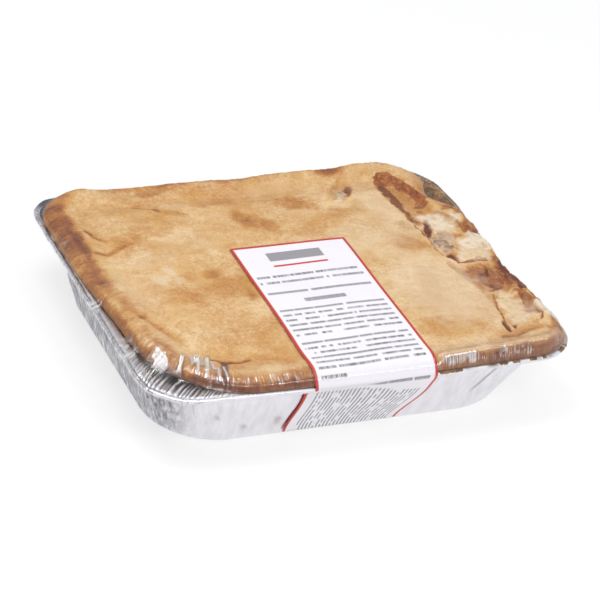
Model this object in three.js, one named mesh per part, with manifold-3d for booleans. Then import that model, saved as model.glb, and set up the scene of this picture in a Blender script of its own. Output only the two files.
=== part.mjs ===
// Deep meat pie baked in a half-size foil pan: pan, filling, pastry lid, clear shrink film and a paper
// label folded over the front edge. Millimetres, +Z up, origin under the middle of the whole on the surface
// it rests on, +X along the long side, -Y towards the labelled front.
import * as THREE from "three";
import { mergeVertices } from "three/addons/utils/BufferGeometryUtils.js";
import Module from "manifold-3d";

// Foil pan
const RIM_LENGTH = 322;
const RIM_WIDTH = 262;
const RIM_HEIGHT = 54;
const RIM_RADII = { frontRight: 34, backRight: 27, backLeft: 26, frontLeft: 34 };
const FLANGE = 11;
const BEAD_RADIUS = 1.6;
const BASE_INSET = 22.4;
const BASE_RADII = { frontRight: 59, backRight: 48, backLeft: 48, frontLeft: 48 };
const FOOT_ROUND = 4;
const FOIL = 0.5;
const BOW_FRONT = 4; // how far the filled pan bulges at the middle of its front
const BOW_BACK = -2; // the film pulls its back in a little

// Sway of the right side, outwards where the lid has drawn in: [share of the half-width, sway]
const BOW_RIGHT = [[-0.84, 0], [-0.46, -2], [-0.17, -3.2], [0.12, -2], [0.35, 0], [0.55, 4], [0.75, 3], [0.9, 0]];

// Clearance between pieces that touch in the real pie
const GAP = 0.35;

// Pastry lid, heights above the rim
const LID_HALF_LENGTH = 158;
const LID_HALF_WIDTH = 129;
const LID_RADII = { frontLeft: 72, frontRight: 35, backRight: 42, backLeft: 38 };
const LID_EDGE_RISE = 1.5;
const LID_PLATEAU = 8.5;
const LID_CROWN = 1.6;
const LID_ROUND = 11; // width over which the lid rolls down to its edge
const LID_ROUND_SHARP = 4.5; // the same where the edge stands upright
const LID_EDGE_LOW = 0.9; // height of the edge under the upright face
const FRONT_RIDGE = 2.8; // ridge along the top of that face
const LIP_INSET = 11; // crest of the raised lip, in from the edge
const LIP_HALF = 13;
const GROOVE_INSET = 30; // valley inside the lip
const GROOVE_HALF = 14;
const GROOVE_DEPTH = 1.8;

// Height of the lip above the level inside it: even on the left and front, [place, height] along the others
const LIP_LEFT = 1.2;
const LIP_FRONT = 0.4;
const LIP_BACK = [
  [-150, 1], [-125, 3], [-100, -2], [-77, -3], [-46, 1.2], [-12, 0], [39, 3.8], [60, 3], [110, 6], [150, 1],
];
const LIP_RIGHT = [
  [-128, 2], [-113, 4], [-95, 6.5], [-72, 5], [-48, 0.5], [-37, -1.5], [-20, -1], [-8, -0.5], [10, 2], [45, 3],
  [70, 0],
];

// Where the baked lid has drawn in from the rim: bites on the right side, a slow taper at the front left
const BITES = [
  { at: 78, above: 42, below: 24, depth: 19 },
  { at: -30, above: 34, below: 40, depth: 2 },
];
const TAPER = { from: 40, to: -70, depth: 7 };

// Places where the lid has split along its right edge: [y, inner x, outer x] along each split
const SPLITS = [
  [
    [106, 108, 121], [98, 105, 127], [88, 104, 131], [74, 105, 134], [60, 107, 131], [51, 108, 136],
    [39, 109, 142], [23, 109, 143.5], [7, 109, 143], [-9, 111, 142], [-20, 118, 138],
  ],
  [[-55, 126, 136], [-63, 121, 142], [-75, 118, 144], [-89, 114, 145], [-99, 113, 142], [-106, 118, 132]],
];
const SPLIT_RAGGED = 1.3;
const VENT = { x: 71, y: 90, halfLength: 13, halfWidth: 6.5, turn: 0.95 };

// Filling
const FILLING_CROWN = 4.2; // rise of the filling under the lid
const POCKET_DEPTH = 20; // the bite shows the pan's wall down to here
const CHUNK_RELIEF = 4; // depth of the gaps between chunks

// Potato and meat chunks that show in the splits: [x, y, half-length, half-width, turn]
const CHUNKS = [
  [135, 47, 9, 6, 0.6], [120, 37, 8, 7, 0.2], [128, 20, 9, 8, 0.5], [115, 11, 7, 8, 0], [123, -4, 8, 7, 0.3],
  [140, 30, 7, 8, 0.9], [141, 8, 8, 9, 0.1], [135, -13, 8, 7, 0.7], [127, -67, 8, 7, 0.4], [138, -79, 8, 9, 0.2],
  [123, -85, 8, 9, 0.7], [132, -100, 9, 7, 0.1], [71, 90, 8, 5, 0.95],
];

// Film and label
const FILM = 0.5;
const FILM_HEM = 3;
const LABEL = 0.4;
const LABEL_LEFT = -47.5;
const LABEL_RIGHT = 43;
const LABEL_TOP = 24;
const LABEL_FOOT = 5;
const LABEL_SLANT = 10; // sideways drift of the label on its way down the front

// Fineness
const LID_COLUMNS = 30;
const LID_ROWS = 26;
const CORNER_STEPS = 7;
const LONG_STEPS = 12;
const SHORT_STEPS = 10;

const wasm = await Module();
wasm.setup();

const { lerp } = THREE.MathUtils;
const smooth = (low, high, t) => THREE.MathUtils.smoothstep(t, low, high);
const bell = (t) => (Math.abs(t) < 1 ? (1 - t * t) ** 2 : 0);
const quarterRound = (t) => (t < 1 ? Math.sqrt(1 - (1 - Math.max(t, 0)) ** 2) : 1);

// Smooth curve through [position, value] stations
function along(stations, t) {
  const last = stations.length - 1;
  if (t <= stations[0][0]) return stations[0][1];
  if (t >= stations[last][0]) return stations[last][1];
  const k = stations.findIndex((s) => s[0] >= t);
  const [from, to] = [stations[k - 1], stations[k]];
  return lerp(from[1], to[1], smooth(from[0], to[0], t));
}

function cornerRadius(x, y, radii) {
  if (y < 0) return x < 0 ? radii.frontLeft : radii.frontRight;
  return x < 0 ? radii.backLeft : radii.backRight;
}

// Point of a plain rectangle moved to a rectangle with a round corner of its own radius at each corner
function roundedPoint(x, y, halfLength, halfWidth, radii) {
  const radius = cornerRadius(x, y, radii);
  const p = (Math.abs(x) - halfLength + radius) / radius;
  const q = (Math.abs(y) - halfWidth + radius) / radius;
  if (p <= 0 || q <= 0) return [x, y];
  const across = halfLength - radius + radius * p * Math.sqrt(1 - (q * q) / 2);
  const up = halfWidth - radius + radius * q * Math.sqrt(1 - (p * p) / 2);
  return [Math.sign(x) * across, Math.sign(y) * up];
}

// Distance in from the edge of such a rectangle
function edgeDistance(x, y, halfLength, halfWidth, radii) {
  const radius = cornerRadius(x, y, radii);
  const p = Math.abs(x) - halfLength + radius;
  const q = Math.abs(y) - halfWidth + radius;
  return radius - Math.hypot(Math.max(p, 0), Math.max(q, 0)) - Math.min(Math.max(p, q), 0);
}

// Pan

// Sway of the pan's sides, full at the rim
function bowed(x, y, halfLength, halfWidth, share) {
  const bow = y < 0 ? BOW_FRONT : BOW_BACK;
  const pull = along(BOW_RIGHT, y / halfWidth) * share * smooth(0.6, 1, x / halfLength);
  return [x + pull, y + (bow * share * bell(x / halfLength) * y) / halfWidth];
}

// Radii of the pan's corners at a share of its height
function panRadii(share) {
  const names = Object.keys(RIM_RADII);
  return Object.fromEntries(names.map((name) => [name, lerp(BASE_RADII[name], RIM_RADII[name], share)]));
}

// Closed outline of the pan at one level: four round corners and the runs between them
function panOutline(inset, z, thinner = 0) {
  const share = z / RIM_HEIGHT;
  const radii = panRadii(share);
  const [halfLength, halfWidth] = [RIM_LENGTH / 2 - inset, RIM_WIDTH / 2 - inset];
  const corners = [
    { name: "frontRight", x: 1, y: -1, from: -90, steps: SHORT_STEPS },
    { name: "backRight", x: 1, y: 1, from: 0, steps: LONG_STEPS },
    { name: "backLeft", x: -1, y: 1, from: 90, steps: SHORT_STEPS },
    { name: "frontLeft", x: -1, y: -1, from: 180, steps: LONG_STEPS },
  ];
  const arcs = corners.map((c) => {
    const radius = radii[c.name] - thinner;
    const centre = new THREE.Vector2(c.x * (halfLength - radius), c.y * (halfWidth - radius));
    return Array.from({ length: CORNER_STEPS + 1 }, (_, k) => {
      const angle = THREE.MathUtils.degToRad(c.from + (90 * k) / CORNER_STEPS);
      return new THREE.Vector2(Math.cos(angle), Math.sin(angle)).multiplyScalar(radius).add(centre);
    });
  });
  const points = [];
  corners.forEach((c, n) => {
    points.push(...arcs[n]);
    const [from, to] = [arcs[n].at(-1), arcs[(n + 1) % 4][0]];
    for (let k = 1; k < c.steps; k++) points.push(from.clone().lerp(to, k / c.steps));
  });
  return points.map((p) => new THREE.Vector3(...bowed(p.x, p.y, halfLength, halfWidth, share), z));
}

// Inset of the pan's outer wall at a height, between the rounded foot and the flange
function wallInset(z) {
  return lerp(BASE_INSET, FLANGE, (z - FOOT_ROUND) / (RIM_HEIGHT - FOOT_ROUND));
}

// Rounded turn from the base to the wall, on the outside or the inside of the foil
function foot(lift, inside) {
  return [0, 0.35, 0.7, 1].map((t) => {
    const turn = (t * Math.PI) / 2;
    const inset = BASE_INSET + (FOOT_ROUND - inside) * (1 - Math.sin(turn)) + inside;
    return panOutline(inset, lift + (FOOT_ROUND - lift) * (1 - Math.cos(turn)), inside);
  });
}

// Loops of points joined into one closed solid, the first and last closed flat
function loft(loops) {
  const count = loops[0].length;
  const positions = loops.flat();
  const index = [];
  for (let k = 0; k + 1 < loops.length; k++) {
    for (let i = 0; i < count; i++) {
      const next = (i + 1) % count;
      const [a, b, c, d] = [k * count + i, k * count + next, (k + 1) * count + next, (k + 1) * count + i];
      index.push(a, b, c, a, c, d);
    }
  }
  const flat = (loop) => THREE.ShapeUtils.triangulateShape(loop.map((p) => new THREE.Vector2(p.x, p.y)), []);
  for (const [a, b, c] of flat(loops[0])) index.push(a, c, b);
  const top = (loops.length - 1) * count;
  for (const [a, b, c] of flat(loops.at(-1))) index.push(top + a, top + b, top + c);
  return shell(positions, index);
}

function shell(positions, index) {
  const geometry = new THREE.BufferGeometry().setFromPoints(positions);
  geometry.setIndex(index);
  return geometry;
}

function foilPan() {
  const beadHeight = RIM_HEIGHT - BEAD_RADIUS + 0.1;
  const bead = [-150, -90, -30, 30, 90, 150].map((degrees) => {
    const angle = THREE.MathUtils.degToRad(degrees);
    return panOutline(BEAD_RADIUS * (1 - Math.cos(angle)), beadHeight + BEAD_RADIUS * Math.sin(angle));
  });
  return loft([
    ...foot(0, 0),
    panOutline(FLANGE + 0.6, RIM_HEIGHT - 3),
    panOutline(FLANGE - 1.5, RIM_HEIGHT - FOIL),
    ...bead,
    panOutline(FLANGE - 1.2, RIM_HEIGHT),
    panOutline(FLANGE + 1.1, RIM_HEIGHT - 2.6, FOIL),
    ...foot(FOIL, FOIL).reverse(),
  ]);
}

// Pastry lid

// Sideways draw of the lid at a point before it shrank: positive to the right
function drawn(x, y) {
  const depths = BITES.map(({ at, above, below, depth }) => depth * bell((y - at) / (y > at ? above : below)));
  const bite = Math.max(...depths);
  const taper = TAPER.depth * smooth(TAPER.to, TAPER.from, y);
  const u = x / LID_HALF_LENGTH;
  return (TAPER.depth - taper) * smooth(0.6, 1, -u) - bite * smooth(0.6, 1, u);
}

// Share of the upright face along the right of the front edge
function sharpFront(x, y) {
  const [u, v] = [x / LID_HALF_LENGTH, y / LID_HALF_WIDTH];
  return smooth(0.27, 0.32, u) * (1 - smooth(0.85, 0.97, u)) * (1 - smooth(-0.8, -0.6, v));
}

// Height of the lid's top above the rim at a point before it shrank
function lidRise(x, y) {
  const inset = edgeDistance(x, y, LID_HALF_LENGTH, LID_HALF_WIDTH, LID_RADII);
  const [u, v] = [x / LID_HALF_LENGTH, y / LID_HALF_WIDTH];
  let lip = along(LIP_RIGHT, y) * smooth(0.6, 0.9, u);
  lip = lerp(lip, LIP_LEFT, smooth(0.6, 0.92, -u));
  lip = lerp(lip, LIP_FRONT, smooth(0.6, 0.92, -v));
  lip = lerp(lip, along(LIP_BACK, x), smooth(0.6, 0.9, v));
  const ridge = lip * bell((inset - LIP_INSET) / LIP_HALF);
  const groove = GROOVE_DEPTH * bell((inset - GROOVE_INSET) / GROOVE_HALF) * smooth(0.1, 0.7, Math.max(-u, v));
  const crown = LID_CROWN * bell(u) * bell(v);
  const sway = 0.7 * Math.sin(x / 31 + y / 47) * Math.cos(y / 26 - x / 70);
  const low = sharpFront(x, y);
  const faceRidge = FRONT_RIDGE * low * bell((inset - 5) / 8);
  const rise = LID_PLATEAU + crown + ridge + faceRidge - groove + sway;
  const sharp = Math.max(low, smooth(0.85, 0.95, u) * smooth(-75, -55, y) * (1 - smooth(30, 50, y)));
  const edge = lerp(LID_EDGE_RISE, LID_EDGE_LOW, low);
  return edge + (rise - edge) * quarterRound(inset / lerp(LID_ROUND, LID_ROUND_SHARP, sharp));
}

// Top of the finished lid straight above a point
function lidTop(x, y) {
  let before = x;
  for (let k = 0; k < 4; k++) before = x - drawn(before, y);
  return RIM_HEIGHT + GAP + lidRise(before, y);
}

// Grid lines from -1 to 1, closer together towards the edges, with the nearest line moved to each fixed place
function gridLines(count, fixed) {
  const lines = Array.from({ length: count + 1 }, (_, k) => {
    const t = (2 * k) / count - 1;
    return 0.25 * t + 0.75 * Math.sin((t * Math.PI) / 2);
  });
  for (const place of fixed) {
    const gaps = lines.map((line) => Math.abs(line - place));
    lines[gaps.indexOf(Math.min(...gaps))] = place;
  }
  return lines;
}

const columnLines = gridLines(LID_COLUMNS, [LABEL_LEFT / LID_HALF_LENGTH, LABEL_RIGHT / LID_HALF_LENGTH]);
const rowLines = gridLines(LID_ROWS, [LABEL_TOP / LID_HALF_WIDTH]);
const gridIndex = (i, j) => j * (LID_COLUMNS + 1) + i;

function lidGrid() {
  const [halfLength, halfWidth] = [LID_HALF_LENGTH, LID_HALF_WIDTH];
  return rowLines.flatMap((v) =>
    columnLines.map((u) => {
      const [x, y] = roundedPoint(u * halfLength, v * halfWidth, halfLength, halfWidth, LID_RADII);
      const z = RIM_HEIGHT + GAP + lidRise(x, y);
      const [across, up] = bowed(x + drawn(x, y), y, halfLength, halfWidth, 1);
      return new THREE.Vector3(across, up, z);
    }),
  );
}

// Grid numbers round the edge, from the front left corner along the front
function gridEdge() {
  const front = Array.from({ length: LID_COLUMNS }, (_, i) => gridIndex(i, 0));
  const right = Array.from({ length: LID_ROWS }, (_, j) => gridIndex(LID_COLUMNS, j));
  const back = Array.from({ length: LID_COLUMNS }, (_, i) => gridIndex(LID_COLUMNS - i, LID_ROWS));
  const left = Array.from({ length: LID_ROWS }, (_, j) => gridIndex(0, LID_ROWS - j));
  return [...front, ...right, ...back, ...left];
}

function gridNormals(grid) {
  const normals = [];
  for (let j = 0; j <= LID_ROWS; j++) {
    for (let i = 0; i <= LID_COLUMNS; i++) {
      const [east, west] = [Math.min(i + 1, LID_COLUMNS), Math.max(i - 1, 0)].map((k) => grid[gridIndex(k, j)]);
      const [north, south] = [Math.min(j + 1, LID_ROWS), Math.max(j - 1, 0)].map((k) => grid[gridIndex(i, k)]);
      normals.push(east.clone().sub(west).cross(north.clone().sub(south)).normalize());
    }
  }
  return normals;
}

function gridFaces(turned, offset = 0) {
  const faces = [];
  for (let j = 0; j < LID_ROWS; j++) {
    for (let i = 0; i < LID_COLUMNS; i++) {
      const [a, b] = [gridIndex(i, j) + offset, gridIndex(i + 1, j) + offset];
      const [c, d] = [gridIndex(i + 1, j + 1) + offset, gridIndex(i, j + 1) + offset];
      faces.push(...(turned ? [a, c, b, a, d, c] : [a, b, c, a, c, d]));
    }
  }
  return faces;
}

// Band of faces between two rings given by their numbers
function band(upper, lower, turned) {
  return upper.flatMap((a, k) => {
    const [b, c, d] = [upper[(k + 1) % upper.length], lower[(k + 1) % lower.length], lower[k]];
    return turned ? [a, b, c, a, c, d] : [a, c, b, a, d, c];
  });
}

// Ragged outline of one split in the lid
function splitOutline(stations) {
  const first = stations[0];
  const last = stations.at(-1);
  const loop = [
    ...stations.map(([y, inner]) => new THREE.Vector3(inner, y, 0)),
    new THREE.Vector3((last[1] + last[2]) / 2, last[0] - 3, 0),
    ...stations.map(([y, , outer]) => new THREE.Vector3(outer, y, 0)).reverse(),
    new THREE.Vector3((first[1] + first[2]) / 2, first[0] + 3, 0),
  ];
  const curve = new THREE.CatmullRomCurve3(loop, true, "centripetal");
  const points = curve.getPoints(3 * loop.length).slice(0, -1);
  return points.map((p, k) => {
    const fromTip = Math.min(first[0] - p.y, p.y - last[0]);
    const ragged = SPLIT_RAGGED * smooth(0, 12, fromTip) * Math.sin(k * 2.4) * Math.sin(k * 0.9 + 1);
    return new THREE.Vector2(p.x + ragged, p.y);
  });
}

function ventOutline() {
  const { x, y, halfLength, halfWidth, turn } = VENT;
  const ellipse = new THREE.EllipseCurve(x, y, halfLength, halfWidth, 0, 2 * Math.PI, false, turn);
  return ellipse.getPoints(20).slice(0, -1);
}

// Counter-clockwise outline moved inwards by inset
function drawnIn(points, inset) {
  return points.map((p, k) => {
    const along = points[(k + 1) % points.length].clone().sub(points.at(k - 1)).normalize();
    return new THREE.Vector2(p.x - inset * along.y, p.y + inset * along.x);
  });
}

function openings(inset) {
  const outlines = [...SPLITS.map(splitOutline), ventOutline()];
  return outlines.map((points) => new THREE.Shape(drawnIn(points, inset)));
}

function prism(shape, low, high) {
  const options = { depth: high - low, bevelEnabled: false, curveSegments: 10 };
  return solidOf(new THREE.ExtrudeGeometry(shape, options).translate(0, 0, low));
}

// Crowned top of the filling, grown by extra to cut its bed in the lid
function crown(extra) {
  const dome = new THREE.SphereGeometry(1, 24, 8);
  dome.scale(LID_HALF_LENGTH - 18 + extra, LID_HALF_WIDTH - 18 + extra, FILLING_CROWN + extra);
  return solidOf(dome.translate(0, 0, RIM_HEIGHT));
}

function pastryLid() {
  const edge = gridEdge();
  const under = edge.map((k) => lid[k].clone().setZ(RIM_HEIGHT + GAP));
  const ring = under.map((_, k) => lid.length + k);
  const flat = THREE.ShapeUtils.triangulateShape(under.map((p) => new THREE.Vector2(p.x, p.y)), []);
  const bottom = flat.flatMap(([a, b, c]) => [ring[a], ring[c], ring[b]]);
  const block = solidOf(shell([...lid, ...under], [...gridFaces(false), ...band(edge, ring, false), ...bottom]));
  const cutters = openings(0).map((shape) => prism(shape, RIM_HEIGHT - 10, RIM_HEIGHT + 40));
  return geometryOf([crown(GAP), ...cutters].reduce((solid, cutter) => solid.subtract(cutter), block));
}

// Filling

// Depth below the chunks' tops, from 0 on a chunk to 1 between chunks
function chunkGap(x, y) {
  const depths = CHUNKS.map(([atX, atY, halfLength, halfWidth, turn]) => {
    const [dx, dy] = [x - atX, y - atY];
    const p = (dx * Math.cos(turn) + dy * Math.sin(turn)) / halfLength;
    const q = (dy * Math.cos(turn) - dx * Math.sin(turn)) / halfWidth;
    return smooth(0.3, 1.5, p ** 4 + q ** 4);
  });
  return Math.min(...depths);
}

// Filling that shows in one opening: chunks just under the lid's own level
function fillingPlug(shape) {
  const outlinePoints = shape.extractPoints(10).shape;
  const box = new THREE.Box2().setFromPoints(outlinePoints).expandByScalar(1);
  const size = box.getSize(new THREE.Vector2());
  const [columns, rows] = [Math.ceil(size.x / 4.5), Math.ceil(size.y / 4.5)];
  const plate = new THREE.BoxGeometry(size.x, size.y, 1, columns, rows, 1);
  const centre = box.getCenter(new THREE.Vector2());
  const spots = plate.getAttribute("position");
  for (let k = 0; k < spots.count; k++) {
    const [x, y] = [spots.getX(k) + centre.x, spots.getY(k) + centre.y];
    const top = lidTop(x, y) - 0.8 - CHUNK_RELIEF * chunkGap(x, y);
    spots.setXYZ(k, x, y, spots.getZ(k) > 0 ? top : RIM_HEIGHT - 4);
  }
  return solidOf(plate).intersect(prism(shape, RIM_HEIGHT - 10, RIM_HEIGHT + 40));
}

// Outline of the filling at one level, drawn in like the lid by a share
function fillingLevel(inset, z, share) {
  return panOutline(inset, z).map((p) => p.setX(p.x + share * Math.min(drawn(p.x, p.y), 0)));
}

function filling() {
  const clear = FOIL + GAP;
  const body = loft([
    fillingLevel(BASE_INSET + FOOT_ROUND + clear, clear, 0),
    fillingLevel(BASE_INSET + 1.5 + clear, FOOT_ROUND * 0.6, 0),
    fillingLevel(wallInset(FOOT_ROUND + 2) + clear, FOOT_ROUND + 2, 0),
    fillingLevel(wallInset(RIM_HEIGHT - POCKET_DEPTH) + clear + 0.5, RIM_HEIGHT - POCKET_DEPTH, 0),
    fillingLevel(wallInset(RIM_HEIGHT - 8) + clear + 0.7, RIM_HEIGHT - 8, 1),
    fillingLevel(FLANGE + 2.5, RIM_HEIGHT, 1),
  ]);
  const plugs = openings(GAP + 0.25).map((shape) => fillingPlug(shape));
  return geometryOf([crown(0), ...plugs].reduce((solid, piece) => solid.add(piece), solidOf(body)));
}

// Film and label

// Rings of the film below the lid's edge: over the rim's bead, in under the flange, down to the pan's foot
function filmRings(lift) {
  const across = LID_COLUMNS + 1;
  const around = gridEdge().map((k) => [columnLines[k % across], rowLines[Math.floor(k / across)]]);
  const ring = (inset, z) => {
    const share = z / RIM_HEIGHT;
    const [halfLength, halfWidth] = [RIM_LENGTH / 2 - inset, RIM_WIDTH / 2 - inset];
    const radii = panRadii(share);
    return around.map(([u, v]) => {
      const [x, y] = roundedPoint(u * halfLength, v * halfWidth, halfLength, halfWidth, radii);
      return new THREE.Vector3(...bowed(x, y, halfLength, halfWidth, share), z);
    });
  };
  return [
    ring(-0.1 - lift, RIM_HEIGHT + 0.2 + lift),
    ring(-0.7 - lift, RIM_HEIGHT - 3),
    ring(FLANGE + 0.8 - lift, RIM_HEIGHT - 11),
    ring(BASE_INSET - 0.7 - lift, FILM_HEM),
  ];
}

function filmSurface(lift) {
  const top = lid.map((p, k) => p.clone().addScaledVector(lidNormals[k], lift));
  return [...top, ...filmRings(lift).flat()];
}

function shrinkFilm() {
  const [inner, outer] = [filmSurface(GAP), filmSurface(GAP + FILM)];
  const edge = gridEdge();
  const rings = Array.from({ length: 4 }, (_, n) => edge.map((_, k) => lid.length + n * edge.length + k));
  const skin = (offset, turned) => {
    const loops = [edge, ...rings].map((loop) => loop.map((k) => k + offset));
    const sides = loops.slice(1).flatMap((loop, n) => band(loops[n], loop, turned));
    return [...gridFaces(turned, offset), ...sides];
  };
  const hem = band(rings[3], rings[3].map((k) => k + outer.length), false);
  return shell([...outer, ...inner], [...skin(0, false), ...skin(outer.length, true), ...hem]);
}

// Paper that lies on the film from the label's top row, over the front edge and down the front
function paperLabel() {
  const columns = [LABEL_LEFT, LABEL_RIGHT].map((x) => columnLines.indexOf(x / LID_HALF_LENGTH));
  const topRow = rowLines.indexOf(LABEL_TOP / LID_HALF_WIDTH);
  const width = columns[1] - columns[0] + 1;
  const sheet = (lift) => {
    const surface = filmSurface(lift);
    const fromTop = Array.from({ length: topRow + 1 }, (_, k) => {
      const start = gridIndex(0, topRow - k);
      return surface.slice(start + columns[0], start + columns[1] + 1);
    });
    const rings = Array.from({ length: 4 }, (_, n) => {
      const start = lid.length + n * gridEdge().length;
      return surface.slice(start + columns[0], start + columns[1] + 1);
    });
    const share = (rings[2][0].z - LABEL_FOOT) / (rings[2][0].z - FILM_HEM);
    const slant = new THREE.Vector3(-LABEL_SLANT, 0, 0);
    const lowest = rings[2].map((p, k) => p.clone().lerp(rings[3][k], share).add(slant));
    return [...fromTop, rings[0], rings[1], rings[2].map((p) => p.addScaledVector(slant, 0.2)), lowest].flat();
  };
  const [under, over] = [sheet(2 * GAP + FILM), sheet(2 * GAP + FILM + LABEL)];
  const rows = over.length / width;
  const faces = [];
  for (let j = 0; j + 1 < rows; j++) {
    for (let i = 0; i + 1 < width; i++) {
      const [a, b, c, d] = [j * width + i, j * width + i + 1, (j + 1) * width + i + 1, (j + 1) * width + i];
      faces.push(a, c, b, a, d, c);
      faces.push(...[a, b, c, a, c, d].map((k) => k + over.length));
    }
  }
  const rim = [
    ...Array.from({ length: width - 1 }, (_, i) => i),
    ...Array.from({ length: rows - 1 }, (_, j) => j * width + width - 1),
    ...Array.from({ length: width - 1 }, (_, i) => rows * width - 1 - i),
    ...Array.from({ length: rows - 1 }, (_, j) => (rows - 1 - j) * width),
  ];
  faces.push(...band(rim, rim.map((k) => k + over.length), true));
  return shell([...over, ...under], faces);
}

// Solids for joining and cutting

function solidOf(geometry) {
  const bare = new THREE.BufferGeometry().setAttribute("position", geometry.getAttribute("position"));
  bare.setIndex(geometry.getIndex());
  const merged = mergeVertices(bare, 1e-4);
  const vertProperties = merged.getAttribute("position").array;
  const triVerts = new Uint32Array(merged.index.array);
  return new wasm.Manifold(new wasm.Mesh({ numProp: 3, vertProperties, triVerts }));
}

function geometryOf(solid) {
  const mesh = solid.getMesh();
  const geometry = new THREE.BufferGeometry();
  geometry.setAttribute("position", new THREE.BufferAttribute(mesh.vertProperties, 3));
  geometry.setIndex(new THREE.BufferAttribute(mesh.triVerts, 1));
  return geometry;
}

// The pie
const lid = lidGrid();
const lidNormals = gridNormals(lid);

const FINISHES = {
  foil: { color: "#c9cacd", roughness: 0.35, metalness: 1 },
  pastry: { color: "#d6ac70", roughness: 0.7, metalness: 0 },
  filling: { color: "#b79c78", roughness: 0.75, metalness: 0 },
  film: { color: "#ffffff", roughness: 0.08, metalness: 0, transparent: true, opacity: 0.12 },
  paper: { color: "#f1eff2", roughness: 0.5, metalness: 0 },
};

const pie = new THREE.Group();
for (const [name, geometry, finish] of [
  ["foil_tray", foilPan(), FINISHES.foil],
  ["filling", filling(), FINISHES.filling],
  ["top_crust", pastryLid(), FINISHES.pastry],
  ["shrink_film", shrinkFilm(), FINISHES.film],
  ["label", paperLabel(), FINISHES.paper],
]) {
  geometry.computeVertexNormals();
  const mesh = new THREE.Mesh(geometry, new THREE.MeshStandardMaterial(finish));
  mesh.name = name;
  pie.add(mesh);
}

// Origin under the middle of the whole
const box = new THREE.Box3().setFromObject(pie);
const middle = box.getCenter(new THREE.Vector3());
for (const mesh of pie.children) mesh.geometry.translate(-middle.x, -middle.y, -box.min.z);

export default pie;
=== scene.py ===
import math
from collections import namedtuple

import bmesh
import bpy
from mathutils import Matrix, Vector, noise


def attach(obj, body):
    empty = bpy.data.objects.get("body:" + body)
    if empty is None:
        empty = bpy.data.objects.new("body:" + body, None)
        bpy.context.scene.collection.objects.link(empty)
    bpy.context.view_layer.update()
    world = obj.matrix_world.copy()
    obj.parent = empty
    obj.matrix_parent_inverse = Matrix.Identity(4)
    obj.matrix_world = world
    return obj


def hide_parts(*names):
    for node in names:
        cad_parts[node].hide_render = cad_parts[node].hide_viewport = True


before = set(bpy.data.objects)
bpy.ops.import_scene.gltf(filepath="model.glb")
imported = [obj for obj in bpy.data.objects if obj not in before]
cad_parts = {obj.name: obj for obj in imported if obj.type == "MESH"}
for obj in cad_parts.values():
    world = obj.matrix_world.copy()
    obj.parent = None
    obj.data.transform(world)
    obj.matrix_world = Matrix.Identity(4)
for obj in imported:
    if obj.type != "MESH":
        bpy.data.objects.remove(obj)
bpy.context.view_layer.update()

TRAY_FOOT = [vert.co for vert in bpy.data.objects["foil_tray"].data.vertices if vert.co.z < 1e-5]

bl_info = {
    "name": "Wrapped Meat Pie",
    "version": (1, 0, 0),
    "blender": (4, 5, 0),
    "location": "View3D > Sidebar > Meat Pie",
    "description": "Deep pastry-topped pie in a foil pan under clear film, with a paper label",
    "category": "Object",
}

# Places and sizes below are millimetres over the middle of the pan: x to the right, y to the back, z up
MM = 0.001

# Foil pan
RIM_RADII = {"front_right": 34.0, "back_right": 27.0, "back_left": 26.0, "front_left": 34.0}
BASE_RADII = {"front_right": 59.0, "back_right": 48.0, "back_left": 48.0, "front_left": 48.0}
FOOT_ROUND = 4.0
BOW_FRONT = 4.0
BOW_BACK = -2.0
BOW_RIGHT = ((-0.84, 0), (-0.46, -2), (-0.17, -3.2), (0.12, -2), (0.35, 0), (0.55, 4), (0.75, 3), (0.9, 0))
BEAD_PROUD = 0.1
ARC_STEPS = 88
LONG_STEPS = 190
SHORT_STEPS = 150
PLEAT_PITCH = 3.1
PLEAT_DEPTH = 0.55
PLEAT_LIFT = 1.2
BEAD_ANGLES = (-150, -115, -80, -45, -10, 25, 60, 95, 130, 155)
BEAD_REACH = 3.4
BEAD_FOOT = 51.0
FLANGE_SHELF = 8.0
FILLING_TUCK = 13.0

# Stains on the front wall: x, z, flattening and size
STAIN_SPOTS = ((-60, 16, 0.7, 5), (-84, 12, 0.8, 4), (-106, 26, 0.8, 3))

# Pastry lid, heights above the rim
LID_HALF_LENGTH = 158.0
LID_HALF_WIDTH = 129.0
LID_CORNERS = {"front_left": 72.0, "front_right": 35.0, "back_right": 42.0, "back_left": 38.0}
LID_GAP = 0.35
LID_EDGE_RISE = 1.5
LID_PLATEAU = 8.5
LID_CROWN = 1.6
LID_ROUND = 11.0
LID_ROUND_SHARP = 4.5
LID_EDGE_LOW = 0.9
FRONT_RIDGE = 2.8
RIDGE_INSET = 5.0
RIDGE_HALF = 8.0
RIDGE_CREST_HALF = 4.0
LIP_INSET = 11.0
LIP_HALF = 13.0
GROOVE_INSET = 30.0
GROOVE_HALF = 14.0
GROOVE_DEPTH = 1.8
LIP_LEFT = 1.2
LIP_FRONT = 0.4
LIP_BACK = (
    (-150, 1), (-125, 4.5), (-100, -1.5), (-77, -3), (-46, 1.2), (-12, 0.8), (39, 3.8), (60, 3),
    (110, 6), (150, 1),
)
LIP_RIGHT = (
    (-128, 2), (-113, 4), (-95, 6.5), (-72, 5), (-48, 0.5), (-37, -1.5), (-20, -1), (-8, -0.5), (10, 2),
    (45, 3), (70, 0),
)
Bite = namedtuple("Bite", "at above below depth")
BITES = (Bite(78, 42, 24, 19), Bite(-30, 34, 40, 2))
TAPER_FROM = 40.0
TAPER_TO = -70.0
TAPER_DEPTH = 7.0

# Grid lines of the lid as (share of the lines, place), closer at the edges and over the splits
LID_COLUMNS = 330
LID_ROWS = 280
COLUMN_LINES = ((0.0, -158), (0.06, -146), (0.68, 100), (0.955, 150), (1.0, 158))
ROW_LINES = ((0.0, -129), (0.08, -115), (0.92, 115), (1.0, 129))

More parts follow.
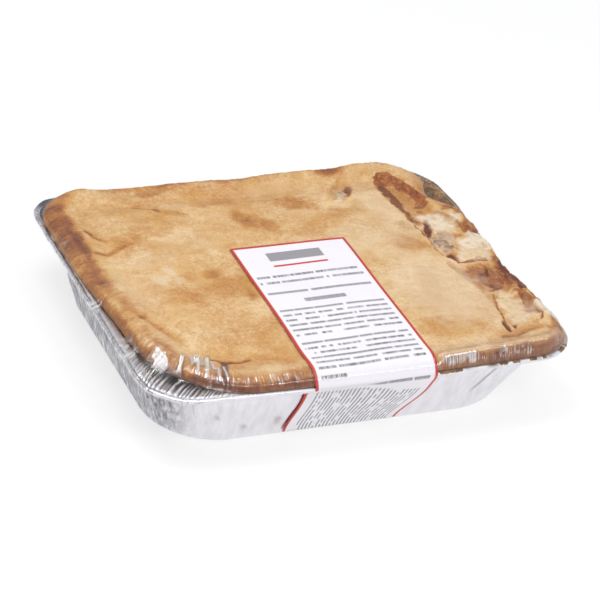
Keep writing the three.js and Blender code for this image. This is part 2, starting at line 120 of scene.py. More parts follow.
# Edge of the lid below its top, darker towards the bottom: share of the edge's height, distance drawn in,
# darkening
LID_UNDERSIDE = ((0.3, 0.2, 0.55), (0.13, 1.2, 0.85), (0.0, 4.0, 0.95))

# Splits along the right side as (y, inner x, outer x), and the band of brown pastry between them
REAR_SPLIT = (
    (110, 113, 118), (106, 109, 122), (98, 106, 127), (93, 105, 129), (88, 104, 131), (81, 104, 133),
    (74, 105, 134), (66, 106, 133), (57, 107, 132), (51, 108, 136), (39, 109, 142), (23, 109, 143.5),
    (7, 109, 143.5), (-9, 111, 143), (-21, 118, 138),
)
FRONT_SPLIT = (
    (-53, 127, 135), (-63, 121, 142), (-75, 118, 144), (-89, 114, 145), (-99, 113, 142), (-108, 118, 132),
)
BRIDGE = ((-21, 113, 150), (-37, 115, 150), (-49, 117, 151), (-61, 119, 150))
SPLIT_DEPTH = 2.6
SLOT_FROM = 45.0
SLOT_TO = 57.0
SLOT_DEPTH = 3.0
PIT_DEPTH = 1.8

# Vent in the lid
VENT_X = 71.0
VENT_Y = 90.0
VENT_HALF_LENGTH = 14.0
VENT_HALF_WIDTH = 7.0
VENT_TURN = 0.95
VENT_DEPTH = 2.8

# Browning round the edge, along y on the left and right and along x on the front and back; towards the back
# of the left side it is also painted shade on the lip's inner slope
LEFT_BAKE_AND_SHADE = (
    (-129, 0.24), (-95, 0.22), (-60, 0.14), (-25, 0.16), (0, 0.26), (25, 0.38), (50, 0.5), (75, 0.56),
    (98, 0.5), (116, 0.34),
)
FRONT_BAKE = ((-158, 0.26), (-120, 0.34), (-95, 0.36), (-50, 0.38), (50, 0.2), (110, 0.22), (150, 0.34))
BACK_BAKE = (
    (-158, 0.46), (-128, 0.36), (-100, 0.24), (-75, 0.34), (-55, 0.38), (-35, 0.28), (0, 0.26), (50, 0.28),
    (150, 0.28),
)
RIGHT_BAKE = (
    (-120, 0.4), (-100, 0.45), (-70, 0.4), (-45, 0.6), (-25, 0.3), (0, 0.05), (25, 0.35), (45, 0.42),
    (60, 0.35), (90, 0.2), (120, 0.18),
)
LEFT_RIM = (
    (-129, 0.5), (-90, 0.55), (-50, 0.5), (-15, 0.44), (10, 0.34), (40, 0.3), (105, 0.32), (118, 0.34),
)
FRONT_RIM = (
    (-158, 0.6), (-110, 0.64), (-60, 0.68), (-20, 0.68), (45, 0.4), (70, 0.3), (110, 0.34), (150, 0.4),
)

# Oval patches: place, half-sizes, turn and strength
Patch = namedtuple("Patch", "x y half_length half_width turn strength")
BROWN_PATCHES = (
    Patch(-18, 62, 9, 17, 0.15, 0.3), Patch(-2, 50, 8, 13, 0.4, 0.2), Patch(30, 79, 17, 10, -0.35, 0.26),
    Patch(43, 75, 3, 4, 0.5, 0.22), Patch(-77, 86, 3.5, 5, 0.3, 0.34), Patch(-67, 79, 12, 4, -0.35, 0.2),
    Patch(-70, 113, 15, 8, 0.2, 0.24), Patch(-48, 117, 12, 6, 0.2, 0.2), Patch(73, 115, 12, 6, 0, 0.34),
    Patch(-100, 93, 30, 9, 0.1, 0.13), Patch(-38, 95, 26, 11, -0.1, 0.17), Patch(-112, 51, 15, 9, 0.4, 0.2),
    Patch(-103, 63, 5, 11, 0.2, 0.16), Patch(-86, -4, 7, 6, 0.2, 0.2), Patch(-70, -3, 9, 6, 0.1, 0.26),
    Patch(-66, -21, 24, 15, 0.2, 0.18), Patch(-55, -25, 7, 16, 0.1, 0.24), Patch(-52, -33, 5, 5, 0, 0.34),
    Patch(-95, -25, 24, 11, 0.1, 0.12), Patch(-60, -105, 26, 9, 0, 0.2), Patch(-90, -109, 22, 8, 0, 0.16),
    Patch(92, 10, 15, 11, -0.5, 0.22), Patch(101, 36, 7, 9, 0.2, 0.2), Patch(77, 67, 7, 12, 0, 0.14),
    Patch(72, -95, 30, 13, 0, 0.16), Patch(62, 61, 14, 10, 0.3, 0.12), Patch(118, -111, 22, 5, 0.2, 0.22),
    Patch(-148, -97, 8, 16, 0.7, 0.16), Patch(-120, -115, 16, 8, -0.5, 0.1),
    Patch(-150, 101, 9, 12, 0.5, 0.12), Patch(-110, 78, 40, 34, 0, 0.1), Patch(-20, 102, 90, 14, 0, 0.1),
)
# Pale patches; the first three are painted highlights, white glints of the film on the left of the lid.
PALE_AND_GLINT_PATCHES = (
    Patch(-108, -4, 5, 8, 0.4, 0.4), Patch(-98, 6, 4, 7, 0.3, 0.42), Patch(-95, -6, 6, 4, 0.7, 0.3),
    Patch(-128, -12, 22, 26, 0, 0.1), Patch(-106, 23, 20, 14, 0, 0.14), Patch(92, 78, 14, 30, 0.2, 0.18),
    Patch(92, -35, 20, 24, 0.1, 0.24), Patch(72, -2, 22, 14, 0, 0.16), Patch(100, -72, 16, 18, 0, 0.14),
    Patch(138, 107, 9, 16, 0.6, 0.12), Patch(-70, 38, 26, 14, 0, 0.1), Patch(20, 103, 30, 8, 0, 0.12),
    Patch(111, -77, 5, 22, 0, 0.3), Patch(86, -48, 40, 52, 0, 0.34),
    Patch(72, 26, 52, 26, 0.3, 0.2), Patch(98, 66, 22, 30, 0, 0.24), Patch(112, -96, 10, 8, 0.2, 0.3),
)

# Patches of the torn side: bare dough and potato, meat, red-brown juices, orange crust, and pits painted dark
# as shade in the holes
CREAM_PATCHES = (
    Patch(131, 39, 18, 13, 0.4, 0.85), Patch(140, 7, 11, 10, 0, 0.95), Patch(135, -9, 14, 12, 0.3, 0.75),
    Patch(131, -78, 13, 21, 0.1, 0.5), Patch(149, -90, 6, 12, 0.3, 1.0), Patch(126, -92, 10, 11, 0, 0.45),
    Patch(147, 8, 8, 14, 0, 1.0), Patch(128, 50, 14, 5, 0.3, 0.8),
)
MEAT_PATCHES = (Patch(119, 10, 11, 13, 0, 0.9), Patch(126, 21, 9, 8, 0.3, 0.55))
JUICE_PATCHES = (
    Patch(142, -43, 14, 4, 1.5, 0.95), Patch(135, -44, 9, 3, 1.5, 0.8), Patch(142, -71, 12, 3.5, 1.45, 0.7),
    Patch(140, -88, 9, 2.0, -0.785, 0.85), Patch(119, -43, 17, 2.6, 1.5, 0.55),
    Patch(134, 52, 11, 2.2, 0.1, 0.6), Patch(124, 58, 4, 3, 0.4, 0.6), Patch(141, -81, 9, 2.6, 1.4, 0.6),
)
ORANGE_PATCHES = (
    Patch(146, 26, 8, 4, 1.3, 0.4), Patch(145, 54, 6, 5, 0.5, 0.4), Patch(129, -40, 17, 13, 1.5, 0.3),
    Patch(152, -82, 26, 3, 1.57, 0.35), Patch(131, 66, 10, 2.5, 0.2, 0.3), Patch(130, -111, 22, 4, 0.1, 0.3),
    Patch(142, -80, 11, 5, 1.5, 0.4),
)
VENT_CREAM = (Patch(66, 79, 5, 3, 0.6, 0.9), Patch(70, 85, 3, 2, 0.2, 0.7))
PIT_PATCHES = (
    Patch(78, 90, 10, 4, 1.0, 0.55),
    Patch(118.5, 33, 13, 3.6, 1.215, 1.0), Patch(110.5, 25, 8, 2.0, 1.5, 0.8), Patch(117, -9, 7, 5, 1.3, 0.8),
    Patch(111, -102, 8, 2.2, 1.45, 0.9), Patch(117, -102, 4.5, 2.2, 1.4, 0.8),
    Patch(150, -23, 6, 2.6, 1.4, 0.6), Patch(111.5, 21, 4, 2.2, 0.3, 0.7), Patch(128, -56, 8, 2, 0.3, 0.5),
    Patch(144, -40, 9, 2, 1.4, 0.7), Patch(147, -56, 8, 1.8, 1.2, 0.6), Patch(141, -72, 8, 1.8, 1.3, 0.6),
    Patch(136, -46, 6, 1.6, 1.7, 0.55), Patch(132, -33, 6, 1.6, 1.2, 0.5),
)

# Creases and folds in the dough: path, half-width, depth, darkening, and the share left at the end of the
# path
Crease = namedtuple("Crease", "path half_width depth browning left")
CREASES = (
    Crease(((-137, 67), (-133, 59), (-127, 54), (-119, 53)), 2.4, 0.9, 0.5, 0.1),
    Crease(((-140, 38), (-132, 37), (-125, 40), (-113, 45)), 2.2, 1.0, 0.5, 0.15),
    Crease(((-146, 63), (-147, 30), (-150, 8), (-146, -12), (-142, -29), (-138, -43)), 4.5, 0.9, 0.14, 1.0),
    Crease(((-137, -45), (-131, -57), (-125, -67), (-120, -78)), 3.4, 1.2, 0.3, 0.4),
    Crease(((-138, -73), (-132, -84), (-124, -95)), 2.6, 1.0, 0.24, 0.6),
    Crease(((-112, -98), (-101, -105), (-94, -105), (-84, -103)), 1.8, 1.6, 0.7, 0.6),
    Crease(((-103, -105), (-105, -112), (-108, -121)), 2.6, 1.7, 0.65, 0.7),
    Crease(((102, -114), (112, -115), (122, -111), (136, -108)), 2.0, 0.9, 0.36, 0.6),
    Crease(((110, -5), (102, 11), (90, 23), (74, 41), (62, 47)), 5.0, 0.5, 0.1, 0.5),
    Crease(((109, -20), (113, -37), (117, -53), (118, -70)), 3.4, 0.6, 0.36, 0.6),
    Crease(((-92, 95), (-77, 87), (-62, 83), (-46, 82)), 1.6, 0.5, 0.22, 0.3),
)

# Chunks in the splits and the vent: place, half-length, half-width, turn; a low power makes them boxy
Chunk = namedtuple("Chunk", "x y half_length half_width turn")
POTATOES = (Chunk(136, -8, 11, 10, 0.5), Chunk(129, -76, 9, 13, 0.3))
MEATS = (Chunk(118, 12, 8, 9, 0), Chunk(127, 17, 8, 7, 0.3), Chunk(73, 88, 5, 6, 0.4))
CHUNK_HEIGHT = 3.4
POTATO_POWER = 0.62
MEAT_POWER = 0.75
LUMP_FINENESS = 4

# Clear film
FILM_COLUMNS = 216
FILM_ROWS = 168
FILM_COLUMN_LINES = ((0.0, -158), (0.37, -110), (0.48, -62), (0.62, 46), (0.76, 118), (1.0, 158))
FILM_ROW_LINES = ((0.0, -129), (0.42, -87), (0.58, -30), (0.86, 112), (1.0, 129))
Facet = namedtuple("Facet", "x y half_length half_width turn rise slope_x slope_y")
FACETS = (
    Facet(-144, -95, 5.5, 10.5, 0.35, 7.6, 0.62, 0.5), Facet(-134, -105, 1.6, 8, -0.5, 8.2, 0.4, 0.6),
    Facet(-124, -109, 2.2, 9, -0.35, 8.6, 0.25, 0.7), Facet(-118, -113, 1.8, 10, -0.3, 8.4, 0.2, 0.75),
)

# Painted white glints of the gathered film, standing in for the lamps' highlights: path and half-width
Glint = namedtuple("Glint", "path half_width")
GLINTS = (
    Glint(((-141.5, -89), (-144.5, -100)), 3.6), Glint(((-128, -95), (-134, -105), (-136, -111)), 1.0),
    Glint(((-122, -96), (-125, -104), (-121, -104), (-124, -112)), 0.9),
    Glint(((-117, -96), (-120, -106), (-116, -107), (-119, -116)), 1.1),
    Glint(((-111, -102), (-113, -112), (-110, -112), (-112, -120)), 0.8),
    Glint(((-106, -111), (-107, -121)), 0.6),
)

# Zones of fine painted white streaks, highlights across the gathered film: place, half-sizes, turn and
# strength
GLINT_STREAK_ZONES = (
    Patch(-156, -68, 17, 8, 1.4, 0.75), Patch(-160, -14, 9, 6, 1.5, 1.0), Patch(-155, 60, 22, 4, 1.57, 0.34),
    Patch(-75, -127, 28, 5, 0, 0.55), Patch(62, -132, 24, 4.5, 0, 1.0), Patch(104, -131, 18, 4.5, 0, 0.75),
    Patch(-150, -106, 12, 10, 0.8, 0.3), Patch(142, -122, 10, 5, 0.7, 0.5),
    Patch(-112, -124, 14, 6, -0.2, 0.4),
)
FILM_LIFT = 0.8
FILM_STANDOFF = 0.4
FILM_HEM = 3.0
FILM_SPANS = (0.25, 0.5, 0.75)

# Paper label
LABEL_LIFT = 1.1
LABEL_STANDOFF = 0.65
LABEL_TOP = 24.0
LABEL_FOOT = 3.6
LABEL_SLANT = 10.0
LABEL_ACROSS = 48
LABEL_ALONG = 150
LABEL_LEFT_EDGE = ((0.0, -46.0), (0.7, -48.5), (0.8, -48.5), (1.0, -44.0))
LABEL_RIGHT_EDGE = ((0.0, 43.4), (0.7, 42.5), (0.8, 42.0), (1.0, 41.0))
LABEL_STEPS = 60

# Print of the label: rows of bars, then boxes as left, right, top and foot, all from the top left corner
Block = namedtuple("Block", "start rows pitch height left right")
LABEL_BLOCKS = (
    Block(36.5, 2, 7.0, 2.6, 5, 88), Block(56.0, 1, 6.0, 2.6, 5, 88), Block(66.0, 1, 7.0, 4.2, 29, 62),
    Block(77.0, 6, 5.6, 2.2, 5, 88), Block(114.0, 6, 5.4, 2.2, 5, 88), Block(147.5, 1, 5.6, 2.4, 5, 24),
    Block(157.0, 1, 5.6, 2.6, 7, 88),
)
HEADER = (24.0, 68.0, 10.0, 20.0)
RULE = (24.0, 68.0, 25.0, 27.0)
BORDER_WIDTH = 2.2
LABEL_WIDTH = 94.0
LABEL_LENGTH = 212.0
WALL_START = 171.0
STRIPE_PITCH = 2.9

# Baked-on drips on the front rim: x, size
DRIPS = (
    (46, 1.6), (50, 3.0), (54, 1.7), (57.5, 2.8), (61, 1.5), (93, 1.5), (96.5, 2.6), (104, 2.2), (107, 1.3),
    (117, 1.4), (120, 2.2), (128, 1.8), (144, 1.6), (147, 2.8), (151, 1.6),
)
DRIP_HALF_WIDTH = 1.5
DRIP_HEIGHT = 0.9
DRIP_POWER = 0.85

# View of the photograph
VIEW_AZIMUTH = -29.467
VIEW_ELEVATION = 31.493
VIEW_ROLL = 10.206
VIEW_DISTANCE = 1619.5
VIEW_TARGET = (6.963, 5.446, 28.038)
VIEW_LENS = 136.09
VIEW_END = 50

# Stage, in metres: lights as name, place, aim, width, depth and power
LIGHTS = (
    ("key_box", (-0.5, 0.05, 1.35), (0, 0, 0.05), 0.55, 0.55, 8),
    ("overhead", (0.2, 0.2, 1.7), (0, 0, 0), 1.6, 1.2, 4),
    ("front_box", (0.06, -0.9, 1.08), (0, 0, 0.05), 0.35, 0.35, 3),
    ("right_box", (0.63, -0.97, 1.0), (0, 0, 0.05), 0.35, 0.35, 3),
)
SKY_COLOUR = (0.97, 0.98, 1.0, 1)
SKY_STRENGTH = 0.56
FLOOR_HALF_SIZE = 6
FLOOR_DROP = 0.0002
FLOOR_GLOW = 0.69


def mm(metres):
    return metres / MM


SHIFT_X = mm(min(spot.x for spot in TRAY_FOOT) + max(spot.x for spot in TRAY_FOOT)) / 2
SHIFT_Y = mm(min(spot.y for spot in TRAY_FOOT) + max(spot.y for spot in TRAY_FOOT)) / 2


def place(x, y, z):
    """Point of the shared frame, in metres."""
    return Vector((x + SHIFT_X, y + SHIFT_Y, z)) * MM


# Settings


def length_property(name, description, metres):
    return bpy.props.FloatProperty(name=name, description=description, default=metres, unit="LENGTH")


class PieSizes(bpy.types.PropertyGroup):
    """Main sizes of the pan, the film and the label."""

    rim_length: length_property("Rim length", "Outside length over the bead", 0.322)
    rim_width: length_property("Rim width", "Outside width over the bead before the sides bow", 0.262)
    rim_height: length_property("Rim height", "Height of the flange above the floor", 0.054)
    flange: length_property("Flange", "Width of the flange from the bead to the wall", 0.011)
    bead_radius: length_property("Bead radius", "Radius of the rolled rim", 0.0016)
    base_inset: length_property("Base inset", "How far the wall leans in from the rim to the base", 0.0224)
    foil: length_property("Foil", "Thickness of the foil", 0.0004)
    film: length_property("Film", "Thickness of the clear film", 0.0001)
    paper: length_property("Paper", "Thickness of the label", 0.0002)


def colour_property(name, description, red, green, blue):
    """Display colour from 0 to 255 a channel."""
    return bpy.props.FloatVectorProperty(
        name=name, description=description, subtype="COLOR_GAMMA", size=3, min=0.0, max=1.0,
        default=(red / 255, green / 255, blue / 255),
    )


class PieColours(bpy.types.PropertyGroup):
    """Display colours of the finishes."""

    pastry_pale: colour_property("Pale pastry", "Lightly baked dough", 221, 191, 147)
    pastry_tan: colour_property("Tan pastry", "Most of the lid", 202, 161, 111)
    pastry_gold: colour_property("Golden pastry", "Butter-coloured patches", 201, 154, 87)
    pastry_amber: colour_property("Amber pastry", "Well baked patches", 184, 128, 70)
    pastry_brown: colour_property("Brown pastry", "Browned lip", 152, 98, 60)
    pastry_dark: colour_property("Dark pastry", "Darkest browned edges", 104, 54, 38)
    torn_brown: colour_property("Torn brown", "Edges of the splits", 150, 88, 52)
    # Bare dough and frost, also used for painted film glints on the lid.
    cream_and_glint: colour_property("Torn cream", "Bare dough and frost", 221, 206, 183)
    potato: colour_property("Potato", "Cooked potato", 204, 181, 145)
    potato_shade: colour_property("Potato shade", "Browner potato", 168, 128, 84)
    meat: colour_property("Meat", "Cooked meat", 190, 161, 131)
    meat_shade: colour_property("Meat shade", "Darker meat", 132, 101, 78)
    gravy: colour_property("Gravy", "Baked-on juices", 108, 80, 52)
    foil_light: colour_property("Foil", "Bright side of the foil", 240, 238, 242)
    foil_dull: colour_property("Dull foil", "Handled foil", 214, 212, 218)
    # Painted shade in the pleats, the crumple lines and the back left corner of the foil.
    foil_fold_shade: colour_property("Foil folds", "Dark lines in the pleats", 104, 102, 108)
    # Painted shade: the crumpled left side of the foil is coloured darker for the shadow it lies in.
    foil_left_shade: colour_property("Worn foil", "Crumpled foil of the left side", 166, 164, 171)
    paper: colour_property("Paper", "Face of the label", 238, 235, 240)
    border: colour_property("Border", "Printed edge of the label", 196, 62, 54)
    ink: colour_property("Ink", "Printed bars of the label", 112, 110, 114)


def linear(colour):
    """Scene-linear colour of a display colour."""
    channels = [c / 12.92 if c <= 0.04045 else ((c + 0.055) / 1.055) ** 2.4 for c in colour]
    return (*channels, 1.0)


def tint(name):
    """Scene-linear colour of one of the pie's colours."""
    return linear(getattr(bpy.context.scene.pie_colours, name))


# Curves and distances


def lerp(a, b, t):
    return a + (b - a) * t


def smooth(low, high, t):
    share = min(max((t - low) / (high - low), 0.0), 1.0)
    return share * share * (3 - 2 * share)


def bell(t):
    return (1 - t * t) ** 2 if abs(t) < 1 else 0.0


def quarter_round(t):
    return math.sqrt(1 - (1 - max(t, 0.0)) ** 2) if t < 1 else 1.0


def along(stations, t, ease=True):
    """Value on a curve through (place, value) stations."""
    if t <= stations[0][0]:
        return stations[0][1]
    for (start, first), (end, second) in zip(stations, stations[1:]):
        if t <= end:
            return lerp(first, second, smooth(start, end, t) if ease else (t - start) / (end - start))
    return stations[-1][1]


def wobble(x, y, size, layer=0.0):
    """Smooth noise from about -1 to 1 with features of the given size."""
    return noise.noise((x / size, y / size, layer))


def path_place(path, x, y):
    """Distance from a path, and the share of its length passed at the nearest point."""
    nearest, passed = 1e9, 0.0
    for n, ((ax, ay), (bx, by)) in enumerate(zip(path, path[1:])):
        run_x, run_y = bx - ax, by - ay
        share = ((x - ax) * run_x + (y - ay) * run_y) / (run_x * run_x + run_y * run_y)
        share = min(max(share, 0.0), 1.0)
        far = math.hypot(x - ax - share * run_x, y - ay - share * run_y)
        if far < nearest:
            nearest, passed = far, (n + share) / (len(path) - 1)
    return nearest, passed


def turned(x, y, turn):
    """Coordinates along and across a turned shape."""
    return x * math.cos(turn) + y * math.sin(turn), y * math.cos(turn) - x * math.sin(turn)


def patch_level(patches, x, y, soft=0.4):
    """Strongest of the oval patches at a point, with ragged edges."""
    level = 0.0
    for patch in patches:
        reach = 1.6 * max(patch.half_length, patch.half_width)
        dx, dy = x - patch.x, y - patch.y
        if abs(dx) > reach or abs(dy) > reach:
            continue
        p, q = turned(dx, dy, patch.turn)
        far = math.hypot(p / patch.half_length, q / patch.half_width)
        far += 0.3 * wobble(x, y, 9, patch.x) + 0.2 * wobble(x, y, 4, patch.y)
        level = max(level, patch.strength * smooth(0.85 + soft, 0.85 - soft, far))
    return level


def corner_radius(x, y, corners):
    if y < 0:
        return corners["front_left"] if x < 0 else corners["front_right"]
    return corners["back_left"] if x < 0 else corners["back_right"]


def rounded_point(x, y, half_length, half_width, corners):
    """Point of a plain rectangle moved to one with round corners."""
    radius = corner_radius(x, y, corners)
    p = (abs(x) - half_length + radius) / radius
    q = (abs(y) - half_width + radius) / radius
    if p <= 0 or q <= 0:
        return x, y
    across = half_length - radius + radius * p * math.sqrt(1 - q * q / 2)
    up = half_width - radius + radius * q * math.sqrt(1 - p * p / 2)
    return math.copysign(across, x), math.copysign(up, y)


def edge_distance(x, y, half_length, half_width, corners):
    """Distance in from the edge of a rectangle with round corners."""
    radius = corner_radius(x, y, corners)
    p = abs(x) - half_length + radius
    q = abs(y) - half_width + radius
    return radius - math.hypot(max(p, 0), max(q, 0)) - min(max(p, q), 0)


def quarter_travel(x, y):
    """Distance along the lid's edge from the middle of the short side, and the whole quarter."""
    radius = corner_radius(x, y, LID_CORNERS)
    run_x, run_y = LID_HALF_LENGTH - radius, LID_HALF_WIDTH - radius
    p, q = abs(x) - run_x, abs(y) - run_y
    arc = radius * math.pi / 2
    whole = run_y + arc + run_x
    if p > 0 and q > 0:
        return run_y + radius * math.atan2(q, p), whole
    if p > q:
        return abs(y), whole
    return run_y + arc + run_x - abs(x), whole


def edge_travel(x, y):
    """Distance round the lid's edge from the middle of the left side, by way of the front."""
    distance, quarter = quarter_travel(x, y)
    if x < 0:
        return distance if y < 0 else -distance
    before = quarter_travel(-1.0, -LID_HALF_WIDTH)[1]
    if y < 0:
        return before + quarter - distance
    return before + quarter_travel(1.0, -LID_HALF_WIDTH)[1] + distance


# Form of the pan and of the lid


def bowed(x, y, half_length, half_width, share):
    bow = BOW_FRONT if y < 0 else BOW_BACK
    pull = along(BOW_RIGHT, y / half_width) * share * smooth(0.6, 1, x / half_length)
    return x + pull, y + bow * share * bell(x / half_length) * y / half_width


Stop = namedtuple("Stop", "corner angle next_corner next_angle share travel bend")
Corner = namedtuple("Corner", "name x y start steps")
CORNERS = (
    Corner("front_right", 1, -1, -90, SHORT_STEPS), Corner("back_right", 1, 1, 0, LONG_STEPS),
    Corner("back_left", -1, 1, 90, SHORT_STEPS), Corner("front_left", -1, -1, 180, LONG_STEPS),
)


def pan_radius(name, share):
    """Radius of one corner of the pan at a share of its height."""
    return lerp(BASE_RADII[name], RIM_RADII[name], share)


class Pan:
    """Outlines of the foil pan, in millimetres."""

    def __init__(self):
        sizes = bpy.context.scene.pie_sizes
        self.half_length = mm(sizes.rim_length) / 2
        self.half_width = mm(sizes.rim_width) / 2
        self.rim_height = mm(sizes.rim_height)
        self.lid_foot = self.rim_height + LID_GAP
        self.flange = mm(sizes.flange)
        self.bead_radius = mm(sizes.bead_radius)
        self.base_inset = mm(sizes.base_inset)
        self.foil = mm(sizes.foil)
        self.stops = self.ring_stops()

    def ring_stops(self):
        """Places round the pan, close together at the corners."""
        stops = []
        travel = 0.0
        for n, corner in enumerate(CORNERS):
            after = CORNERS[(n + 1) % len(CORNERS)]
            length = self.half_length if n % 2 else self.half_width
            run = 2 * length - RIM_RADII[corner.name] - RIM_RADII[after.name]
            for k in range(ARC_STEPS):
                stops.append(Stop(corner, corner.start + 90 * k / ARC_STEPS, corner, 0.0, 0.0, travel, 1.0))
                travel += RIM_RADII[corner.name] * math.pi / 2 / ARC_STEPS
            for k in range(corner.steps):
                share = k / corner.steps
                bend = smooth(40, 2, min(share, 1 - share) * run)
                stops.append(Stop(corner, corner.start + 90, after, after.start, share, travel, bend))
                travel += run / corner.steps
        return stops

    def wall_inset(self, z):
        return lerp(self.base_inset, self.flange, (z - FOOT_ROUND) / (self.rim_height - FOOT_ROUND))

    def point(self, stop, inset, z, thinner=0.0):
        """Point of the pan's outline at one height, drawn in by inset."""
        share = z / self.rim_height
        half_length, half_width = self.half_length - inset, self.half_width - inset

        def arc_point(corner, angle):
            radius = pan_radius(corner.name, share) - thinner
            turn = math.radians(angle)
            x = corner.x * (half_length - radius) + radius * math.cos(turn)
            return x, corner.y * (half_width - radius) + radius * math.sin(turn)

        x, y = arc_point(stop.corner, stop.angle)
        if stop.share:
            far = arc_point(stop.next_corner, stop.next_angle)
            x, y = lerp(x, far[0], stop.share), lerp(y, far[1], stop.share)
        return bowed(x, y, half_length, half_width, share)


def front_left(x, y):
    """Share of the front left corner, where the flange shows broad and the filling stays under the lid."""
    return smooth(-100, -135, x) * smooth(-70, -105, y)


def drawn(x, y):
    """Sideways draw of the lid where it shrank from the rim."""
    bite = max(b.depth * bell((y - b.at) / (b.above if y > b.at else b.below)) for b in BITES)
    taper = TAPER_DEPTH - TAPER_DEPTH * smooth(TAPER_TO, TAPER_FROM, y)
    u = x / LID_HALF_LENGTH
    return taper * smooth(0.6, 1, -u) - bite * smooth(0.6, 1, u)


def lid_inset(x, y):
    return edge_distance(x, y, LID_HALF_LENGTH, LID_HALF_WIDTH, LID_CORNERS)


def lid_rounded(x, y):
    return rounded_point(x, y, LID_HALF_LENGTH, LID_HALF_WIDTH, LID_CORNERS)


def lid_rise(x, y):
    """Height of the lid above the rim at a point before it shrank."""
    inset = lid_inset(x, y)
    u, v = x / LID_HALF_LENGTH, y / LID_HALF_WIDTH
    lip = along(LIP_RIGHT, y) * smooth(0.6, 0.9, u)
    lip = lerp(lip, LIP_LEFT, smooth(0.6, 0.92, -u))
    lip = lerp(lip, LIP_FRONT, smooth(0.6, 0.92, -v))
    lip = lerp(lip, along(LIP_BACK, x), smooth(0.6, 0.9, v))
    ridge = lip * bell((inset - LIP_INSET) / LIP_HALF)
    groove = GROOVE_DEPTH * bell((inset - GROOVE_INSET) / GROOVE_HALF) * smooth(0.1, 0.7, max(-u, v))
    crown = LID_CROWN * bell(u) * bell(v)
    sway = 0.7 * math.sin(x / 31 + y / 47) * math.cos(y / 26 - x / 70)
    rise = LID_PLATEAU + crown + ridge - groove + sway
    low = sharp_front(x, y)
    rise += FRONT_RIDGE * low * bell((inset - RIDGE_INSET) / RIDGE_HALF)
    sharp = max(low, smooth(0.85, 0.95, u) * smooth(-75, -55, y) * smooth(50, 30, y))
    edge = lerp(LID_EDGE_RISE, LID_EDGE_LOW, low)
    return edge + (rise - edge) * quarter_round(inset / lerp(LID_ROUND, LID_ROUND_SHARP, sharp))


def sharp_front(x, y):
    """Share of the upright face along the right of the front edge."""
    u, v = x / LID_HALF_LENGTH, y / LID_HALF_WIDTH
    return smooth(0.27, 0.32, u) * smooth(0.97, 0.85, u) * smooth(-0.6, -0.8, v)


def lid_spot(x, y):
    """Where a point of the lid lies after it shrank."""
    return bowed(x + drawn(x, y), y, LID_HALF_LENGTH, LID_HALF_WIDTH, 1)


def lid_top(x, y):
    """Rise of the finished lid straight above a point."""
    before = x
    for _ in range(4):
        before = x - drawn(before, y)
    return lid_rise(before, y)


def split_edges(stations, y):
    """Inner and outer x of a split at one y, or None past its ends."""
    ordered = stations[::-1]
    if not ordered[0][0] <= y <= ordered[-1][0]:
        return None
    inner = along([(at, inner) for at, inner, _ in ordered], y, ease=False)
    outer = along([(at, outer) for at, _, outer in ordered], y, ease=False)
    return inner, outer


def vent_distance(x, y):
    """Distance from the vent's middle, 1 at its edge."""
    p, q = turned(x - VENT_X, y - VENT_Y, VENT_TURN)
    return math.hypot(p / VENT_HALF_LENGTH, q / VENT_HALF_WIDTH)


# Making meshes


def new_object(bm, name, material, slot, *nodes):
    """Finished piece made from a bmesh, riding on the one body of the pie."""
    bmesh.ops.recalc_face_normals(bm, faces=bm.faces)
    for face in bm.faces:
        face.smooth = True
    mesh = bpy.data.meshes.new(name)
    bm.to_mesh(mesh)
    bm.free()
    mesh.materials.append(material)
    piece = bpy.data.objects.new(name, mesh)
    bpy.context.scene.collection.objects.link(piece)
    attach(piece, "root")
    if nodes:
        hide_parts(*nodes)
    return piece


def thicken(piece, thickness, offset):
    """Wall on a sheet: to its inside at -1, to its outside at 1."""
    wall = piece.modifiers.new("thickness", "SOLIDIFY")
    wall.thickness = thickness
    wall.offset = offset


def pan_circle(pan, point):
    """New bmesh with one capped ring round the pan, and the layer that numbers its stops."""
    bm = bmesh.new()
    bmesh.ops.create_circle(bm, cap_ends=True, segments=len(pan.stops), radius=1)
    around = bm.verts.layers.int.new("around")
    bm.verts.ensure_lookup_table()
    for k, vert in enumerate(bm.verts):
        vert[around] = k
        vert.co = place(*point(pan.stops[k]))
    return bm, around


def drop_layers(piece, *names):
    for name in names:
        piece.data.attributes.remove(piece.data.attributes[name])


def boundary(bm):
    return [edge for edge in bm.edges if edge.is_boundary]


def extruded(bm, edges):
    """New loop of vertices and edges below a boundary."""
    made = bmesh.ops.extrude_edge_only(bm, edges=edges)["geom"]
    verts = [item for item in made if isinstance(item, bmesh.types.BMVert)]
    loop = [item for item in made if isinstance(item, bmesh.types.BMEdge) and item.is_boundary]
    return verts, loop


def close_loop(bm, edges):
    bmesh.ops.contextual_create(bm, geom=edges)


# Shader expressions


